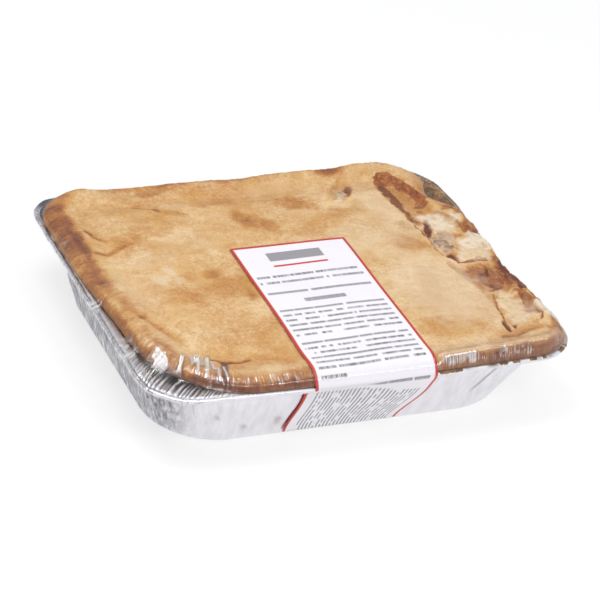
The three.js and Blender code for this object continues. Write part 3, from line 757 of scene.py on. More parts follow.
class Wire:
    """Shader socket that takes part in Python sums, each of which adds a Math node."""

    def __init__(self, tree, socket=None):
        self.tree = tree
        self.socket = socket

    def make(self, kind, settings, inputs, output=0):
        """Any node: its type, its settings, the values or links of its sockets, and the output wanted."""
        node = self.tree.nodes.new(kind)
        for name, value in settings.items():
            if name == "stops":
                self.set_stops(node.color_ramp, value)
            else:
                setattr(node, name, value)
        for key, value in inputs.items():
            if isinstance(value, Wire):
                self.tree.links.new(value.socket, node.inputs[key])
            else:
                node.inputs[key].default_value = value
        return Wire(self.tree, node.outputs[output]) if node.outputs else None

    def set_stops(self, ramp, stops):
        for position, _ in stops[2:]:
            ramp.elements.new(position)
        for element, (position, colour) in zip(ramp.elements, stops):
            element.position = position
            element.color = colour

    def math(self, operation, first, *others):
        return self.make("ShaderNodeMath", {"operation": operation}, dict(enumerate((first, *others))))

    def __add__(self, other):
        return self.math("ADD", self, other)

    __radd__ = __add__

    def __sub__(self, other):
        return self.math("SUBTRACT", self, other)

    def __rsub__(self, other):
        return self.math("SUBTRACT", other, self)

    def __mul__(self, other):
        return self.math("MULTIPLY", self, other)

    __rmul__ = __mul__

    def __truediv__(self, other):
        return self.math("DIVIDE", self, other)

    def clamped(self):
        return self.make("ShaderNodeClamp", {}, {"Value": self})

    def step(self, low, high):
        """Smooth step from 0 at low to 1 at high."""
        settings = {"interpolation_type": "SMOOTHSTEP"}
        return self.make("ShaderNodeMapRange", settings, {"Value": self, "From Min": low, "From Max": high})

    def noise(self, scale, detail=2.0, roughness=0.5, distortion=0.0):
        """Noise at this position."""
        inputs = {"Vector": self, "Scale": scale, "Detail": detail, "Roughness": roughness}
        inputs["Distortion"] = distortion
        return self.make("ShaderNodeTexNoise", {}, inputs, "Fac")

    def stretched(self, x, y, z):
        return self.make("ShaderNodeVectorMath", {"operation": "MULTIPLY"}, {0: self, 1: (x, y, z)})

    def parts(self):
        return [self.make("ShaderNodeSeparateXYZ", {}, {"Vector": self}, axis) for axis in "XYZ"]

    def mixed(self, over, factor):
        """This colour with another laid over it."""
        return self.make("ShaderNodeMix", {"data_type": "RGBA"}, {0: factor, 6: self, 7: over}, 2)

    def ramp(self, stops):
        return self.make("ShaderNodeValToRGB", {"stops": stops}, {"Fac": self}, "Color")

    def toned(self, *stops):
        """Ramp through the pie's colours, from positions and names."""
        return self.ramp([(position, tint(name)) for position, name in stops])

    def bump(self, strength, distance):
        """Normal of a surface with this height."""
        inputs = {"Height": self, "Strength": strength, "Distance": distance}
        return self.make("ShaderNodeBump", {}, inputs, "Normal")

    def attribute(self, name):
        return self.make("ShaderNodeAttribute", {"attribute_name": name}, {}, "Fac")

    def position(self):
        return self.make("ShaderNodeTexCoord", {}, {}, "Object")

    def surface(self, inputs):
        """Finished principled surface."""
        return self.make("ShaderNodeBsdfPrincipled", {}, inputs, "BSDF")

    def finish(self, shader):
        self.make("ShaderNodeOutputMaterial", {}, {"Surface": shader})


def new_material(name):
    material = bpy.data.materials.new(name)
    material.use_nodes = True
    material.node_tree.nodes.clear()
    return material, Wire(material.node_tree)


# Finishes


def pastry_finish():
    """Baked dough: tan with amber and pale mottling, brown lips, torn edges, and a few painted film glints in
    pale dough colour.
    """
    material, wire = new_material("baked_pastry")
    spot = wire.position()
    wide = spot.noise(23, 6.0, 0.58, 0.4)
    mottle = spot.stretched(0.85, 1.2, 1).noise(95, 8.0, 0.66, 0.4)
    flecks = spot.noise(380, 4.0, 0.7)
    grain = spot.noise(1100, 2.0, 0.6)
    cloud = spot.noise(120, 3.0, 0.6)
    hue = spot.noise(41, 5.0, 0.6, 0.3).step(0.42, 0.66)
    browned = wire.attribute("browned")
    lip = wire.attribute("lip")
    gather = wire.make("ShaderNodeCombineXYZ", {}, {0: wire.attribute("travel"), 1: lip * 0.006, 2: 0.0013})
    gathers = (gather.noise(430, 4.0, 0.7) - 0.5) * lip
    tone = browned + (wide - 0.5) * 0.75 + (mottle - 0.5) * 0.6 + (flecks - 0.5) * 0.5 + (grain - 0.5) * 0.5
    tone = tone + gathers * 0.55
    colour = tone.clamped().toned(
        (0.0, "pastry_pale"), (0.2, "pastry_tan"), (0.4, "pastry_amber"),
        (0.62, "pastry_brown"), (0.95, "pastry_dark"),
    )
    gilded = hue * (1 - browned.step(0.3, 0.6)) * 0.42
    colour = colour.mixed(tint("pastry_gold"), gilded)
    ragged = (mottle - 0.5) * 1.2 + (flecks - 0.5) * 1.0
    torn = wire.attribute("torn")
    torn_colour = (0.5 + (mottle - 0.5) * 1.3 + (flecks - 0.5) * 1.3).toned(
        (0.1, "pastry_dark"), (0.45, "torn_brown"), (0.8, "pastry_amber"),
    )
    colour = colour.mixed(torn_colour, (torn + ragged * torn.step(0.05, 0.3)).step(0.25, 0.65))
    meaty = wire.attribute("meaty")
    meat_colour = (cloud + (flecks - 0.5) * 0.6).toned(
        (0.3, "meat_shade"), (0.5, "meat"), (0.68, "potato"),
    )
    colour = colour.mixed(meat_colour, (meaty + ragged * meaty.step(0.05, 0.3)).step(0.25, 0.65))
    # Bare dough and painted film glints.
    bare = wire.attribute("bare")
    crumbled = (bare + ragged * 0.9).step(0.5, 0.8)
    bare = wire.math("MAXIMUM", bare * (0.5 + 0.5 * grain + 0.6 * mottle), crumbled * 0.9)
    colour = colour.mixed(tint("cream_and_glint"), bare.clamped())
    roughness = 0.62 - 0.2 * browned + 0.25 * (mottle - 0.5)
    height = mottle * 0.6 + flecks * 0.35 + grain * 0.15 + gathers * 0.6
    wire.finish(wire.surface({
        "Base Color": colour, "Roughness": roughness.clamped(), "Normal": height.bump(0.7, 0.0012),
        "Specular IOR Level": 0.25,
    }))
    return material


def potato_finish():
    """Cooked potato: cream, floury, with brown juices in the hollows."""
    material, wire = new_material("cooked_potato")
    spot = wire.position()
    cloud = spot.noise(130, 4.0, 0.6, 0.3)
    grain = spot.noise(700, 3.0, 0.6)
    colour = cloud.toned(
        (0.24, "cream_and_glint"), (0.42, "pastry_pale"), (0.6, "potato"), (0.75, "potato_shade"),
    )
    height = cloud * 0.6 + grain * 0.4
    wire.finish(wire.surface({
        "Base Color": colour, "Roughness": (0.35 + 0.35 * grain).clamped(),
        "Normal": height.bump(0.7, 0.0008),
    }))
    return material


def meat_finish():
    """Cooked meat: grey-brown fibres with pale frost."""
    material, wire = new_material("cooked_meat")
    spot = wire.position()
    cloud = spot.noise(110, 3.0, 0.55, 0.4)
    fibre = spot.stretched(1, 0.25, 1).noise(520, 3.0, 0.6, 0.6)
    colour = (cloud * 0.75 + fibre * 0.25).toned((0.34, "meat_shade"), (0.5, "meat"))
    frost = spot.noise(260, 4.0, 0.65).step(0.55, 0.68)
    colour = colour.mixed(tint("cream_and_glint"), frost * 0.45)
    height = fibre * 0.5 + cloud * 0.5
    wire.finish(wire.surface({
        "Base Color": colour, "Roughness": (0.3 + 0.3 * fibre).clamped(), "Normal": height.bump(0.6, 0.0008),
    }))
    return material


def gravy_finish():
    """Baked-on juices: glossy brown."""
    material, wire = new_material("baked_gravy")
    spot = wire.position()
    cloud = spot.noise(160, 4.0, 0.6, 0.3)
    colour = cloud.toned((0.32, "pastry_dark"), (0.5, "gravy"), (0.7, "pastry_amber"))
    wire.finish(wire.surface({
        "Base Color": colour, "Roughness": (0.2 + 0.3 * cloud).clamped(), "Normal": cloud.bump(0.5, 0.001),
    }))
    return material


def foil_finish():
    """Rolled foil: bright, with soft upright streaks, crinkles and a few stains, painted shade on the left
    wall and in the pleats, and painted highlight on pleat ridges and the front of the bead.
    """
    material, wire = new_material("rolled_foil")
    spot = wire.position()
    streak = spot.stretched(1, 1, 0.06).noise(150, 4.0, 0.65)
    crinkle = spot.noise(95, 3.0, 0.55, 0.8)
    scuff = spot.noise(600, 3.0, 0.6)
    stain = wire.attribute("stain")
    handled = (streak.step(0.35, 0.75) * 0.6 + crinkle * 0.3).clamped()
    colour = wire.make("ShaderNodeMix", {"data_type": "RGBA"}, {
        0: handled, 6: tint("foil_light"), 7: tint("foil_dull"),
    }, 2)
    # Painted shade on the left wall: crumple lines from dark to bright foil, laid on by the left wall's mask.
    crease_shade = spot.stretched(1, 1, 0.25).noise(260, 4.0, 0.75).toned(
        (0.36, "foil_fold_shade"), (0.5, "foil_left_shade"), (0.66, "foil_light"),
    )
    colour = colour.mixed(crease_shade, wire.attribute("worn"))
    # Painted shade in folds and the back left corner; below 0 a painted highlight makes pleat ridges and the
    # front bead less metallic and bright.
    fold = wire.attribute("fold")
    colour = colour.mixed(tint("foil_fold_shade"), fold.clamped())
    ridge = (0 - fold).clamped()
    soiled = (stain * (0.7 + crinkle)).clamped()
    smear = spot.stretched(0.3, 0.3, 1).noise(330, 4.0, 0.7, 0.6)
    juice = smear.toned((0.34, "pastry_dark"), (0.48, "gravy"), (0.66, "potato_shade"))
    colour = colour.mixed(juice, soiled)
    roughness = 0.2 + 0.16 * streak + 0.1 * scuff + 0.3 * soiled
    height = streak * 0.5 + crinkle * 0.5
    metallic = 1 - 0.85 * soiled - 0.7 * ridge
    wire.finish(wire.surface({
        "Base Color": colour, "Metallic": metallic.clamped(), "Roughness": roughness.clamped(),
        "Normal": height.bump(0.35, 0.0007),
    }))
    return material


def film_finish():
    """Clear shrink film: its gloss shows, with painted white glints and streaks where it is gathered."""
    material, wire = new_material("shrink_film")
    spot = wire.position()
    bunched = wire.attribute("bunched")
    travel = wire.make("ShaderNodeCombineXYZ", {}, {0: wire.attribute("travel"), 1: 0.0007, 2: 0.0013})
    pleat = travel.noise(330, 3.0, 0.6)
    ripple = spot.noise(60, 3.0, 0.5, 0.6)
    normal = (ripple * 0.5 + pleat * (0.2 + 2.4 * bunched)).bump(0.5, 0.0012)
    back = wire.make("ShaderNodeNewGeometry", {}, {}, "Backfacing")
    fresnel = wire.make("ShaderNodeFresnel", {}, {"IOR": 1.36, "Normal": normal})
    gloss = wire.math("MINIMUM", fresnel, 0.25)
    # Fine painted highlight streaks across the gathered film.
    streaked = wire.attribute("streaked")
    density = travel.noise(1250, 3.0, 0.65) + 0.25 * streaked + 0.5 * (spot.noise(230, 3.0) - 0.5)
    streaks = density.step(0.64, 0.8) * streaked.step(0.1, 0.35) * 0.9
    # Painted highlights: the glints and streaks turn the film into diffuse white.
    glint = wire.math("MAXIMUM", wire.attribute("glint"), streaks)
    glint = (glint * (0.55 + 0.5 * pleat)).clamped()
    layers = (gloss * (0.3 + 2 * bunched) + 0.9 * glint) * (1 - back)
    clear = wire.make("ShaderNodeBsdfTransparent", {}, {"Color": (1, 1, 1, 1)}, "BSDF")
    # Colour of the painted glints: white, greyer in the big patches.
    white = wire.attribute("glint").ramp(((0.2, (0.86, 0.845, 0.835, 1)), (0.8, (0.62, 0.605, 0.595, 1))))
    shine = wire.surface({
        "Base Color": white, "Metallic": 1 - glint, "Roughness": 0.05, "Normal": normal,
    })
    wire.finish(wire.make("ShaderNodeMixShader", {}, {0: layers.clamped(), 1: clear, 2: shine}, "Shader"))
    return material


def between(value, low, high, soft=0.25):
    """Mask that is 1 from low to high."""
    return value.step(low - soft, low + soft) * (1 - value.step(high - soft, high + soft))


def printed_box(box, across, down):
    left, right, top, foot = box
    return between(across, left, right) * between(down, top, foot)


def printed_rows(wire, block, across, down):
    """Grey bars broken into lengths like lines of small print."""
    row = wire.math("FLOOR", (down - block.start) / block.pitch)
    height = wire.math("FRACT", (down - block.start) / block.pitch) * block.pitch
    place_in_row = wire.make("ShaderNodeCombineXYZ", {}, {0: across * 0.17, 1: row * 7.7 + block.start})
    words = place_in_row.noise(1.0, 1.0).step(0.36, 0.42)
    strokes = place_in_row.stretched(9, 1, 1).noise(1.0, 1.0).step(0.35, 0.6)
    bars = between(height, 0.0, block.height, 0.35)
    zone = between(down, block.start - 0.5, block.start + block.rows * block.pitch - 0.6)
    return bars * zone * between(across, block.left, block.right) * words * (0.35 + 0.65 * strokes)


def paper_finish():
    """Coated paper with a red border, a plain header bar and grey bars for print."""
    material, wire = new_material("label_paper")
    spot = wire.make("ShaderNodeUVMap", {"uv_map": "print"}, {}, "UV")
    u, v, _ = spot.parts()
    across, down = u * LABEL_WIDTH, v * LABEL_LENGTH
    fibre = wire.position().noise(900, 3.0, 0.6)
    shade = wire.position().noise(30, 2.0, 0.5)
    ink = printed_rows(wire, LABEL_BLOCKS[0], across, down)
    for block in LABEL_BLOCKS[1:]:
        ink = ink + printed_rows(wire, block, across, down)
    ink = ink + 0.8 * printed_box(HEADER, across, down)
    stripe = wire.math("FRACT", across / STRIPE_PITCH)
    column = wire.math("FLOOR", across / STRIPE_PITCH)
    dash = wire.make("ShaderNodeCombineXYZ", {}, {0: column * 5.3, 1: down * 0.16, 2: 3.0}).noise(1.0, 1.0)
    wall = between(stripe, 0.2, 0.62, 0.1) * dash.step(0.36, 0.46) * down.step(WALL_START, WALL_START + 1)
    ink = ink + wall * between(across, 8, 86) * 0.8
    rule = printed_box(RULE, across, down)
    edge = wire.math("MINIMUM", wire.math("MINIMUM", across, LABEL_WIDTH - across), down)
    border = 1 - edge.step(BORDER_WIDTH - 0.3, BORDER_WIDTH + 0.3)
    white = wire.make("ShaderNodeMix", {"data_type": "RGBA"}, {
        0: (fibre * 0.3 + shade * 0.3).clamped(), 6: tint("paper"), 7: tint("foil_dull"),
    }, 2)
    colour = white.mixed(tint("ink"), ink.clamped())
    colour = colour.mixed(tint("border"), (border + rule).clamped())
    wire.finish(wire.surface({
        "Base Color": colour, "Roughness": 0.38 + 0.2 * fibre,
        "Normal": (fibre * 0.2 + shade).bump(0.2, 0.0006),
    }))
    return material


def floor_finish():
    """Plain pale sweep."""
    material, wire = new_material("pale_floor")
    cloud = wire.position().noise(3, 2.0)
    colour = cloud.ramp(((0.3, (0.29, 0.29, 0.29, 1)), (0.7, (0.31, 0.31, 0.31, 1))))
    wire.finish(wire.surface({
        "Base Color": colour, "Roughness": 0.8, "Emission Color": (1, 1, 1, 1),
        "Emission Strength": FLOOR_GLOW,
    }))
    return material


# Pastry lid

LidPoint = namedtuple("LidPoint", "rise browned torn bare meaty lip travel")


def edge_browning(x, y, inset):
    """Browning of the lip, by side, with painted shade on the inner slope of the left lip."""
    u, v = x / LID_HALF_LENGTH, y / LID_HALF_WIDTH
    ragged = inset + 2.5 * wobble(x, y, 13, 5) + 1.5 * wobble(x, y, 5, 6)
    left, front = smooth(-0.78, -0.9, u), smooth(-0.76, -0.9, v)
    sides = (
        along(LEFT_BAKE_AND_SHADE, y) * left * smooth(19, 10, ragged) * smooth(-4, 2, ragged),
        along(FRONT_BAKE, x) * front * smooth(14, 6, ragged),
        along(BACK_BAKE, x) * smooth(0.74, 0.9, v) * smooth(15, 4, ragged),
        along(RIGHT_BAKE, y) * smooth(0.8, 0.92, u) * smooth(13, 5, ragged),
        along(LEFT_RIM, y) * left * smooth(7, 1, ragged), along(FRONT_RIM, x) * front * smooth(7, 1, ragged),
    )
    return max(sides)


Split = namedtuple("Split", "depth torn browned crumbs")


def split_level(x, y):
    """Drop of the lid in its splits, with the share torn, the browning and the share of pale crumbs."""
    ragged_x = x + 1.8 * wobble(x, y, 8, 11) + 1.2 * wobble(x, y, 3.2, 12)
    ragged_y = y + 5 * wobble(x, y, 11, 53) + 3 * wobble(x, y, 4, 54)
    edges = split_edges(REAR_SPLIT, y)
    if edges:
        inner, outer = edges
        slot = smooth(SLOT_FROM, SLOT_TO, ragged_y)
        into = ragged_x - inner + 1.5
        out = outer + 1 - ragged_x
        tips = smooth(110, 103, y) * smooth(-18, -11, ragged_y) * smooth(-21, -18, y)
        inside = smooth(0, lerp(2.5, 12, slot), into) * smooth(0, lerp(2.5, 5, slot), out) * tips
        band = min(smooth(-1.5, 0.5, into), smooth(-2.5, 1, out)) * smooth(112, 108, y)
        share = (x - inner) / (outer - inner) + 0.12 * wobble(x, y, 6, 51) + 0.07 * wobble(x, y, 2.5, 52)
        reach = lerp(0.34, 0.5, smooth(62, 78, y))
        maroon = smooth(-0.08, 0.02, share) * smooth(reach, reach - 0.14, share)
        maroon *= smooth(101, 95, ragged_y) * smooth(36, 52, ragged_y)
        wall = max(smooth(0.7, 0.82, share) * smooth(62, 72, ragged_y), smooth(94, 101, ragged_y))
        crumbs = inside * (1 - slot)
        torn = band * lerp(0.75 - 0.5 * crumbs, max(wall, 0.25 * maroon), slot)
        browned = band * max(0.26 * slot * (1 - wall), 0.72 * maroon)
        return Split(lerp(SPLIT_DEPTH, SLOT_DEPTH, slot) * inside, torn, browned, crumbs)
    edges = split_edges(FRONT_SPLIT, y)
    if edges:
        inner, outer = edges
        into = ragged_x - inner
        out = outer - ragged_x
        tips = smooth(-56, -63, ragged_y) * smooth(-104, -97, ragged_y)
        tips = tips * smooth(-53, -55, y) * smooth(-108, -106, y)
        inside = smooth(0, 2.5, into) * smooth(0, 2.5, out) * tips
        band = min(smooth(-2.5, 0.5, into), smooth(-3, 1, out)) * tips
        return Split(SPLIT_DEPTH * inside, band * (0.8 - 0.5 * inside), 0.0, inside)
    return Split(0.0, 0.0, 0.0, 0.0)


def bridge_level(x, y):
    """Share of the brown, craggy band between the splits."""
    edges = split_edges(BRIDGE, y)
    if not edges:
        return 0.0
    inner, outer = edges
    ragged_x = x + 2.0 * wobble(x, y, 9, 13)
    ends = smooth(-21, -28, y) * smooth(-61, -54, y)
    return smooth(inner - 2, inner + 3, ragged_x) * smooth(outer + 4, outer - 2, ragged_x) * ends


def lid_detail(x, y):
    """Relief and finish of the lid at a point before it shrank."""
    inset = lid_inset(x, y)
    spot_x, spot_y = lid_spot(x, y)
    inside = smooth(0, 9, inset)
    rise = lid_rise(x, y)
    rise += inside * (0.4 * wobble(spot_x, spot_y, 30, 1) + 0.22 * wobble(spot_x, spot_y, 12, 2))
    rise += 0.12 * wobble(spot_x, spot_y, 5, 3) + 0.06 * wobble(spot_x, spot_y, 2.2, 4)
    face = sharp_front(x, y)
    ridge = face * bell((inset - RIDGE_INSET) / RIDGE_CREST_HALF)
    travel = edge_travel(x, y)
    gathers = wobble(travel, inset * 0.25, 2.6, 7) + 0.6 * wobble(travel, inset * 0.2, 6, 8)
    knuckles = wobble(travel, inset * 0.8, 17, 19) + 0.6 * wobble(travel, inset, 8, 20)
    rise += (0.32 * gathers + 0.9 * (knuckles - 0.5) * smooth(0, 5, inset)) * smooth(22, 8, inset)
    browned = 0.16 + edge_browning(x, y, inset)
    browned += patch_level(BROWN_PATCHES, spot_x, spot_y)
    browned += (0.05 * gathers - 0.12 * knuckles) * smooth(22, 8, inset)
    browned += 0.22 * face * smooth(4.6, 2.6, inset) - 0.1 * ridge
    # Pale patches of dough, with painted film glints among them.
    bare = patch_level(PALE_AND_GLINT_PATCHES, spot_x, spot_y) + 0.3 * ridge
    for crease in CREASES:
        reach, passed = path_place(crease.path, spot_x, spot_y)
        reach += 0.7 * wobble(spot_x, spot_y, 4, 9)
        level = lerp(1.0, crease.left, passed)
        rise -= level * crease.depth * bell(reach / crease.half_width)
        bank = bell((reach - 2 * crease.half_width) / (1.5 * crease.half_width))
        rise += 0.35 * level * crease.depth * bank
        browned += level * crease.browning * bell(reach / (1.4 * crease.half_width))
    split = split_level(spot_x, spot_y)
    bare *= 1 - min(1.0, 2 * max(split.torn, split.browned))
    bridge = bridge_level(spot_x, spot_y)
    meaty = 0.0
    torn = split.torn
    lumps = wobble(spot_x, spot_y, 8, 14)
    bits = wobble(spot_x, spot_y, 3.6, 15)
    crags = 1.5 * lumps + 0.9 * bits + 0.35 * wobble(spot_x, spot_y, 1.8, 28)
    strip = smooth(138, 146, spot_x) * smooth(69, 59, spot_y) * smooth(-115, -105, spot_y)
    rough = max(bridge, strip, split.crumbs, 0.4 * split.torn)
    rise += rough * crags - split.depth - max(bridge, strip)
    browned += split.browned + bridge * 0.24
    if rough > 0.02 or split.depth > 0.2:
        level = min(1.0, 2 * rough)
        # Painted shade in the hollows between the crags: browner and less bare there.
        hollow_shade = smooth(0.05, -0.45, lumps + 0.5 * bits)
        bare = max(bare, level * patch_level(CREAM_PATCHES, spot_x, spot_y, 0.3) * (1 - 0.5 * hollow_shade))
        meaty = level * patch_level(MEAT_PATCHES, spot_x, spot_y, 0.25)
        bare *= 1 - 0.8 * meaty
        torn = max(torn * (1 - 0.5 * bare), patch_level(JUICE_PATCHES, spot_x, spot_y, 0.3))
        orange = patch_level(ORANGE_PATCHES, spot_x, spot_y, 0.3)
        browned += orange + 0.22 * level * hollow_shade + 0.1 * level * bits
    # Pits sink and are painted dark brown: painted shade in the holes.
    pit = patch_level(PIT_PATCHES, spot_x, spot_y, 0.25)
    rise -= PIT_DEPTH * pit
    browned += 0.9 * pit
    bare *= 1 - pit
    torn *= 1 - 0.5 * pit
    meaty *= 1 - pit
    vent = vent_distance(spot_x, spot_y) + 0.2 * wobble(spot_x, spot_y, 5, 18)
    open_vent = smooth(1.05, 0.8, vent)
    rise -= open_vent * (VENT_DEPTH - 0.6 * bits)
    browned += 0.12 * bell((vent - 1.1) / 0.35) + 0.16 * open_vent
    meaty = max(meaty, 0.35 * open_vent * (1 - pit))
    bare = max(bare, 0.8 * patch_level(VENT_CREAM, spot_x, spot_y, 0.25))
    return LidPoint(rise, min(browned, 1.0), torn, bare, meaty, smooth(24, 7, inset), travel * MM)


class PIE_OT_pastry_lid(bpy.types.Operator):
    """Add the baked pastry lid with its lip, creases, splits and vent"""

    bl_idname = "pie.pastry_lid"
    bl_label = "Pastry Lid"

    def execute(self, context):
        pan = Pan()
        bm = bmesh.new()
        bmesh.ops.create_grid(bm, x_segments=LID_COLUMNS, y_segments=LID_ROWS, size=1)
        layers = [bm.verts.layers.float.new(name) for name in LidPoint._fields[1:]]
        for vert in bm.verts:
            column = along(COLUMN_LINES, (vert.co.x + 1) / 2, ease=False)
            row = along(ROW_LINES, (vert.co.y + 1) / 2, ease=False)
            x, y = lid_rounded(column, row)
            detail = lid_detail(x, y)
            spot = lid_spot(x, y)
            vert.co = place(*spot, pan.lid_foot + detail.rise)
            for layer, value in zip(layers, detail[1:]):
                vert[layer] = value
        loop = boundary(bm)
        foot = pan.lid_foot * MM
        left_over = 1.0
        for share, inward, browning in LID_UNDERSIDE:
            verts, loop = extruded(bm, loop)
            for vert in verts:
                vert.co.x *= 1 - inward / LID_HALF_LENGTH
                vert.co.y *= 1 - inward / LID_HALF_WIDTH
                vert.co.z = foot + (vert.co.z - foot) * share / left_over
                vert[layers[0]] = browning
            left_over = share
        close_loop(bm, loop)
        new_object(bm, "pastry_lid", pastry_finish(), "pastry", "top_crust")
        return {"FINISHED"}


# Filling


def add_lump(bm, chunk, top, height, seed, power):
    """One uneven chunk whose top lies at a given height."""
    lump = bmesh.ops.create_icosphere(bm, subdivisions=LUMP_FINENESS, radius=1)["verts"]
    cos_turn, sin_turn = math.cos(chunk.turn), math.sin(chunk.turn)
    for vert in lump:
        p, q, r = (math.copysign(abs(c) ** power, c) for c in vert.co)
        swell = 1 + 0.24 * noise.noise((p * 1.3 + seed, q * 1.3, r * 1.3))
        swell += 0.12 * noise.noise((p * 3.1 + seed, q * 3.1, r * 3.1))
        swell += 0.09 * noise.noise((p * 7 + seed, q * 7, r * 7))
        swell += 0.05 * noise.noise((p * 15, q * 15 + seed, r * 15))
        x, y = p * chunk.half_length * swell, q * chunk.half_width * swell
        z = top - height + r * height * swell
        spot_x = chunk.x + x * cos_turn - y * sin_turn
        spot_y = chunk.y + x * sin_turn + y * cos_turn
        vert.co = place(spot_x, spot_y, z)


class PIE_OT_filling(bpy.types.Operator):
    """Add the filling: its bed in the pan and the chunks that show in the splits"""

    bl_idname = "pie.filling"
    bl_label = "Filling"

    def execute(self, context):
        pan = Pan()
        self.add_bed(pan)
        self.add_chunks(pan, POTATOES, "potato_chunks", potato_finish(), POTATO_POWER)
        self.add_chunks(pan, MEATS, "meat_chunks", meat_finish(), MEAT_POWER)
        return {"FINISHED"}

    def add_bed(self, pan):
        clear = pan.foil + LID_GAP
        levels = (
            (pan.base_inset + 1.5 + clear, FOOT_ROUND * 0.6, 0),
            (pan.wall_inset(FOOT_ROUND + 2) + clear, FOOT_ROUND + 2, 0),
            (pan.wall_inset(pan.rim_height - 20) + clear, pan.rim_height - 20, 0),
            (pan.wall_inset(pan.rim_height - 8) + clear + 0.4, pan.rim_height - 8, 1),
            (pan.flange + 3, pan.rim_height - 0.3, 1),
        )
        floor_inset = pan.base_inset + FOOT_ROUND + clear
        bm, around = pan_circle(pan, lambda stop: (*pan.point(stop, floor_inset, clear), clear))
        loop = boundary(bm)
        for inset, z, share in levels:
            verts, loop = extruded(bm, loop)
            for vert in verts:
                x, y = pan.point(pan.stops[vert[around]], inset, z)
                tuck = FILLING_TUCK * front_left(x, y) * smooth(pan.rim_height - 3, pan.rim_height - 1, z)
                x, y = pan.point(pan.stops[vert[around]], inset + tuck, z)
                x += share * min(drawn(x, y), 0)
                vert.co = place(x, y, z + 0.8 * share * wobble(x, y, 9, 21))
        close_loop(bm, loop)
        bed = new_object(bm, "filling_bed", gravy_finish(), "filling", "filling")
        drop_layers(bed, "around")

    def add_chunks(self, pan, chunks, name, material, power):
        bm = bmesh.new()
        for n, chunk in enumerate(chunks):
            sunk = 1.5 + 0.8 * abs(noise.noise((n * 2.3, power, 27)))
            top = pan.lid_foot + lid_top(chunk.x, chunk.y) - sunk
            add_lump(bm, chunk, top, CHUNK_HEIGHT, 3.7 * n, power)
        new_object(bm, name, material, "filling")


class PIE_OT_drips(bpy.types.Operator):
    """Add the baked-on drips on the rim"""

    bl_idname = "pie.drips"
    bl_label = "Baked Drips"

    def execute(self, context):
        pan = Pan()
        bm = bmesh.new()
        for n, (x, size) in enumerate(DRIPS):
            radius = RIM_RADII["front_right"]
            past = max(x - pan.half_length + radius, 0.0)
            front = radius - pan.half_width - math.sqrt(radius ** 2 - past ** 2)
            front -= BOW_FRONT * bell(x / pan.half_length)
            turn = 0.1 + math.asin(past / radius)
            drip = Chunk(x - 1.2 * math.sin(turn), front + DRIP_HALF_WIDTH, size, DRIP_HALF_WIDTH, turn)
            add_lump(bm, drip, pan.rim_height + 0.5, DRIP_HEIGHT, 5.9 * n, DRIP_POWER)
        new_object(bm, "baked_drips", gravy_finish(), "filling")
        return {"FINISHED"}


# Foil pan

Ring = namedtuple("Ring", "inset z thinner pleat lift shelf", defaults=(0.0,))


